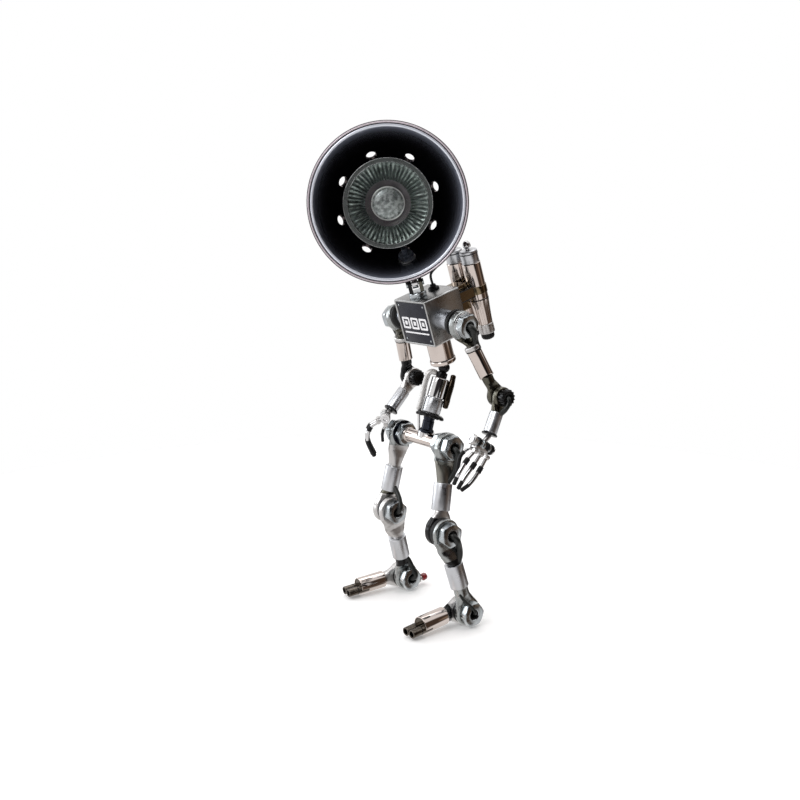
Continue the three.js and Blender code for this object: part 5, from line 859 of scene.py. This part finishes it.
piece("head_arm", "head", [(sweep(spline(bar, 40), 1.75, 24), HM, "chrome_pure"), (lathe([(0, 0.1), (4.6, 0.1), (4.8, 0.6), (4.8, 2.0), (3.6, 4.6), (0, 4.6)], 56, 0.3), HM @ BMt, "chrome_pure"),
                          (lathe([(0, -1.75), (3.0, -1.75), (3.0, 1.75), (0, 1.75)], 48, 0.3), HM @ frame_at(n1, tax, V(0, 1, 0)), "chrome_pure")], "head_bracket")
piece("shade_nut", "head", [(hexnut(8.0, -5.6, -2.1), HM @ BMt, "nut_dark"), (lathe([(0, -9.0), (1.8, -9.0), (1.8, 0), (0, 0)], 32, 0.25), HM @ BMt, "nut_dark"), (ring(5.4, 1.9, -2.2, -1.3, 48, 0.2), HM @ BMt, "satin_light")])
# neck
NM = frame_at(N0, TU, TILT)
cheek = lambda s, m_: ((surface(lambda x, y, z, s=s: np.maximum(smin(np.maximum(np.abs(y) - 2.8, np.maximum(2.6 - z, z - NECK_UP)), np.sqrt(y * y + (z - NECK_UP) ** 2) - 2.8, 0.2), np.abs(x - s * 3.25) - 1.1), (s * 3.25 - 1.8, -3.6, 2.0), (s * 3.25 + 1.8, 3.6, 11.8), 0.28)), NM, m_)
piece("neck_fork", "neck", [(lathe([(0, 0.1), (4.8, 0.1), (5.2, 0.7), (5.2, 2.7), (4.7, 3.3), (0, 3.3)], 64, 0.3), NM, "nut")], "neck_yoke")
# both cheeks are one yoke part; the olive on the second cheek is a painted brown reflection
piece("neck_cheek_a", "neck", [cheek(-1, "black_metal")])
piece("neck_cheek_b", "neck", [cheek(1, "olive")])
piece("neck_pin", "neck", [(lathe([(0, -5.3), (1.9, -5.3), (1.9, -4.2), (1.15, -4.1), (1.15, 4.1), (1.9, 4.2), (1.9, 5.3), (0, 5.3)], 40, 0.2), NM @ MV(0, 0, NECK_UP) @ RX, "nut")])
# head cable in two lengths, lower and upper; both are unparented and baked where they are built
g0, gd = tpt(0, -6.5, TH / 2 + 2.0), tpt(0, -6.9, TH / 2 + 9)
into = HM @ V(3.0, -(REAR + 0.2) + 2.0, rz - 12)
cp = spline([g0, gd, V(2.0, 15.4, 211.0), V(-4.0, 17.6, 218.0), V(-14, 20.0, 223.0), into + V(7, 3.2, -6.6), into + V(0.6, 0.2, -3.2), into], 90)
ci = 26
def cable_blend(name, pts, a, rep=None):
    o = piece(name, a, [(sweep(pts, 0.75, 14), None, "cable")], rep)
    o.parent = None; o.matrix_world = Matrix.Identity(4)
    if "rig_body" in o: del o["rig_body"]
    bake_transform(o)
    return o
cable_blend("head_cable_lower", cp[:ci + 1], "torso", "head_cable")
cable_blend("head_cable_upper", cp[ci:], "neck")
piece("cable_entry", "head", [(lathe([(0, -1.4), (2.2, -1.4), (1.9, 1.0), (1.2, 2.0), (0, 2.0)], 32, 0.25), frame_at(into + (into - cp[-4]).normalized() * -1.6, cp[-4] - into, V(1, 0, 0)), "rubber")])
# terminal block stays inside the casing: same shape, ceramic finish
tb = frame["nodes"]["terminal_block"]; tb.data.materials.clear(); tb.data.materials.append(MATS["ceramic"])

# ------------------------------------------------------------------ stage, light, camera
def plane(name, size, z):
    me = bpy.data.meshes.new(name); s = size / 2; me.from_pydata([(-s, -s, z), (s, -s, z), (s, s, z), (-s, s, z)], [], [(0, 1, 2, 3)])
    o = bpy.data.objects.new(name, me); bpy.context.scene.collection.objects.link(o); return o
me_ = bpy.data.meshes.new("floor"); N_ = 128; rings_ = [0.0, 0.2, 0.5]
vs_ = [(0, 0, -0.0004)] + [(q * math.cos(2 * math.pi * k / N_), q * math.sin(2 * math.pi * k / N_), -0.0004) for q in rings_[1:] for k in range(N_)]
fs_ = [(0, 1 + k, 1 + (k + 1) % N_) for k in range(N_)] + [(1 + k, 1 + N_ + k, 1 + N_ + (k + 1) % N_, 1 + (k + 1) % N_) for k in range(N_)]
me_.from_pydata(vs_, [], fs_); fl = bpy.data.objects.new("floor", me_); bpy.context.scene.collection.objects.link(fl)
fm = bpy.data.materials.new("floor_white"); fm.use_nodes = True; b_ = fm.node_tree.nodes["Principled BSDF"]; b_.inputs["Base Color"].default_value = (0.94, 0.94, 0.94, 1); b_.inputs["Roughness"].default_value = 0.6
b_.inputs["Emission Color"].default_value = (1, 1, 1, 1); b_.inputs["Emission Strength"].default_value = 0.16
fl.data.materials.append(fm); fl.visible_glossy = False


def area(name, loc, target, size, power, col=(1, 1, 1)):
    l = bpy.data.lights.new(name, "AREA"); l.shape = "RECTANGLE"; l.size = size[0]; l.size_y = size[1]; l.energy = power; l.color = col
    o = bpy.data.objects.new(name, l); o.location = loc; o.rotation_euler = (Vector(target) - Vector(loc)).to_track_quat("-Z", "Y").to_euler(); bpy.context.scene.collection.objects.link(o); return o


world = bpy.data.worlds.new("studio"); bpy.context.scene.world = world; world.use_nodes = True
wn, wl = world.node_tree.nodes, world.node_tree.links; wn.clear()
wo = wn.new("ShaderNodeOutputWorld"); bg1 = wn.new("ShaderNodeBackground"); bg2 = wn.new("ShaderNodeBackground"); mx = wn.new("ShaderNodeMixShader"); lp = wn.new("ShaderNodeLightPath")
bg1.inputs["Color"].default_value = (1, 1, 1, 1); bg1.inputs["Strength"].default_value = 1.0
tc = wn.new("ShaderNodeTexCoord"); sp = wn.new("ShaderNodeSeparateXYZ"); wl.new(tc.outputs["Generated"], sp.inputs[0])
def wmath(op, a, b=None, clamp=False):
    m = wn.new("ShaderNodeMath"); m.operation = op; m.use_clamp = clamp
    for i, v in enumerate((a, b)):
        if v is None: continue
        if isinstance(v, (int, float)): m.inputs[i].default_value = v
        else: wl.new(v, m.inputs[i])
    return m.outputs[0]
def lobe(direction, lo, hi):
    d = Vector(direction).normalized()
    t = wmath("ADD", wmath("ADD", wmath("MULTIPLY", sp.outputs[0], d.x), wmath("MULTIPLY", sp.outputs[1], d.y)), wmath("MULTIPLY", sp.outputs[2], d.z))
    r = wn.new("ShaderNodeMapRange"); r.interpolation_type = "SMOOTHSTEP"; r.inputs["From Min"].default_value = lo; r.inputs["From Max"].default_value = hi; wl.new(t, r.inputs["Value"]); return r.outputs[0]
base_col = (0.95, 0.93, 0.92)
def layer(prev, fac, col):
    m = wn.new("ShaderNodeMix"); m.data_type = "RGBA"; wl.new(fac, m.inputs["Factor"])
    if isinstance(prev, tuple): m.inputs["A"].default_value = (*prev, 1)
    else: wl.new(prev, m.inputs["A"])
    m.inputs["B"].default_value = (*col, 1); return m.outputs["Result"]
def az(deg, el=0.0):
    """Direction at an angle from the camera's side of the figure, positive to the camera's right."""
    a = deg * D; c = Vector((0.817, -0.577, 0)); r = Vector((0.577, 0.817, 0)); v = c * math.cos(a) + r * math.sin(a); v.z = math.tan(el * D); return tuple(v)
def above(f, lo=-0.03, hi=0.09):
    """The share of a lobe that lies over the horizon."""
    r = wn.new("ShaderNodeMapRange"); r.interpolation_type = "SMOOTHSTEP"; r.inputs["From Min"].default_value = lo; r.inputs["From Max"].default_value = hi; wl.new(sp.outputs[2], r.inputs["Value"])
    return wmath("MULTIPLY", f, r.outputs[0])
c_ = layer(base_col, lobe(az(60, 6), 0.80, 0.90), (0.075, 0.050, 0.036))      # dark side of the room
c_ = layer(c_, above(lobe(az(8, 17), 0.66, 0.80)), (0.030, 0.026, 0.028))      # unlit room in front of the figure
c_ = layer(c_, lobe(az(56, -38), 0.94, 0.975), (0.10, 0.07, 0.05))
c_ = layer(c_, lobe(az(33, 2), 0.94, 0.975), (0.012, 0.010, 0.010))
c_ = layer(c_, lobe(az(116, 2), 0.88, 0.94), (0.065, 0.047, 0.036))
c_ = layer(c_, lobe(az(84, 0), 0.978, 0.992), (0.26, 0.19, 0.14))
c_ = layer(c_, lobe(az(152, -14), 0.955, 0.98), (0.02, 0.015, 0.012))
c_ = layer(c_, lobe(az(-150, 4), 0.975, 0.99), (0.10, 0.08, 0.07))
c_ = layer(c_, lobe(az(-38, -8), 0.985, 0.997), (0.45, 0.40, 0.38))
c_ = layer(c_, lobe((0.0, 0.0, -1.0), 0.55, 0.85), (0.78, 0.76, 0.74))
wl.new(c_, bg2.inputs["Color"]); bg2.inputs["Strength"].default_value = 0.93
wl.new(lp.outputs["Is Camera Ray"], mx.inputs[0]); wl.new(bg2.outputs[0], mx.inputs[1]); wl.new(bg1.outputs[0], mx.inputs[2]); wl.new(mx.outputs[0], wo.inputs[0])
area("key", (0.35, -1.2, 1.15), (0, 0, 0.15), (0.9, 0.9), 8.5)
area("top", (-0.2, 0.2, 1.5), (0, 0, 0.1), (1.2, 1.2), 7.5)
area("left", (-1.0, -0.7, 0.5), (0, 0, 0.15), (0.5, 1.0), 4.5, (0.90, 0.95, 1.0))

cam = bpy.data.cameras.new("camera"); co = bpy.data.objects.new("camera", cam); bpy.context.scene.collection.objects.link(co)
cam.sensor_width = 36; cam.lens = 44.06; cam.shift_x = -0.0202; cam.shift_y = -0.0423
cp_ = (V(470.52, -332.15, 233.88) + SHIFT) / 1000; tg = (V(0, 0, 150) + SHIFT) / 1000
co.location = cp_; co.rotation_euler = (tg - cp_).to_track_quat("-Z", "Y").to_euler()
bpy.context.scene.camera = co
bpy.context.scene.view_settings.view_transform = "Standard"
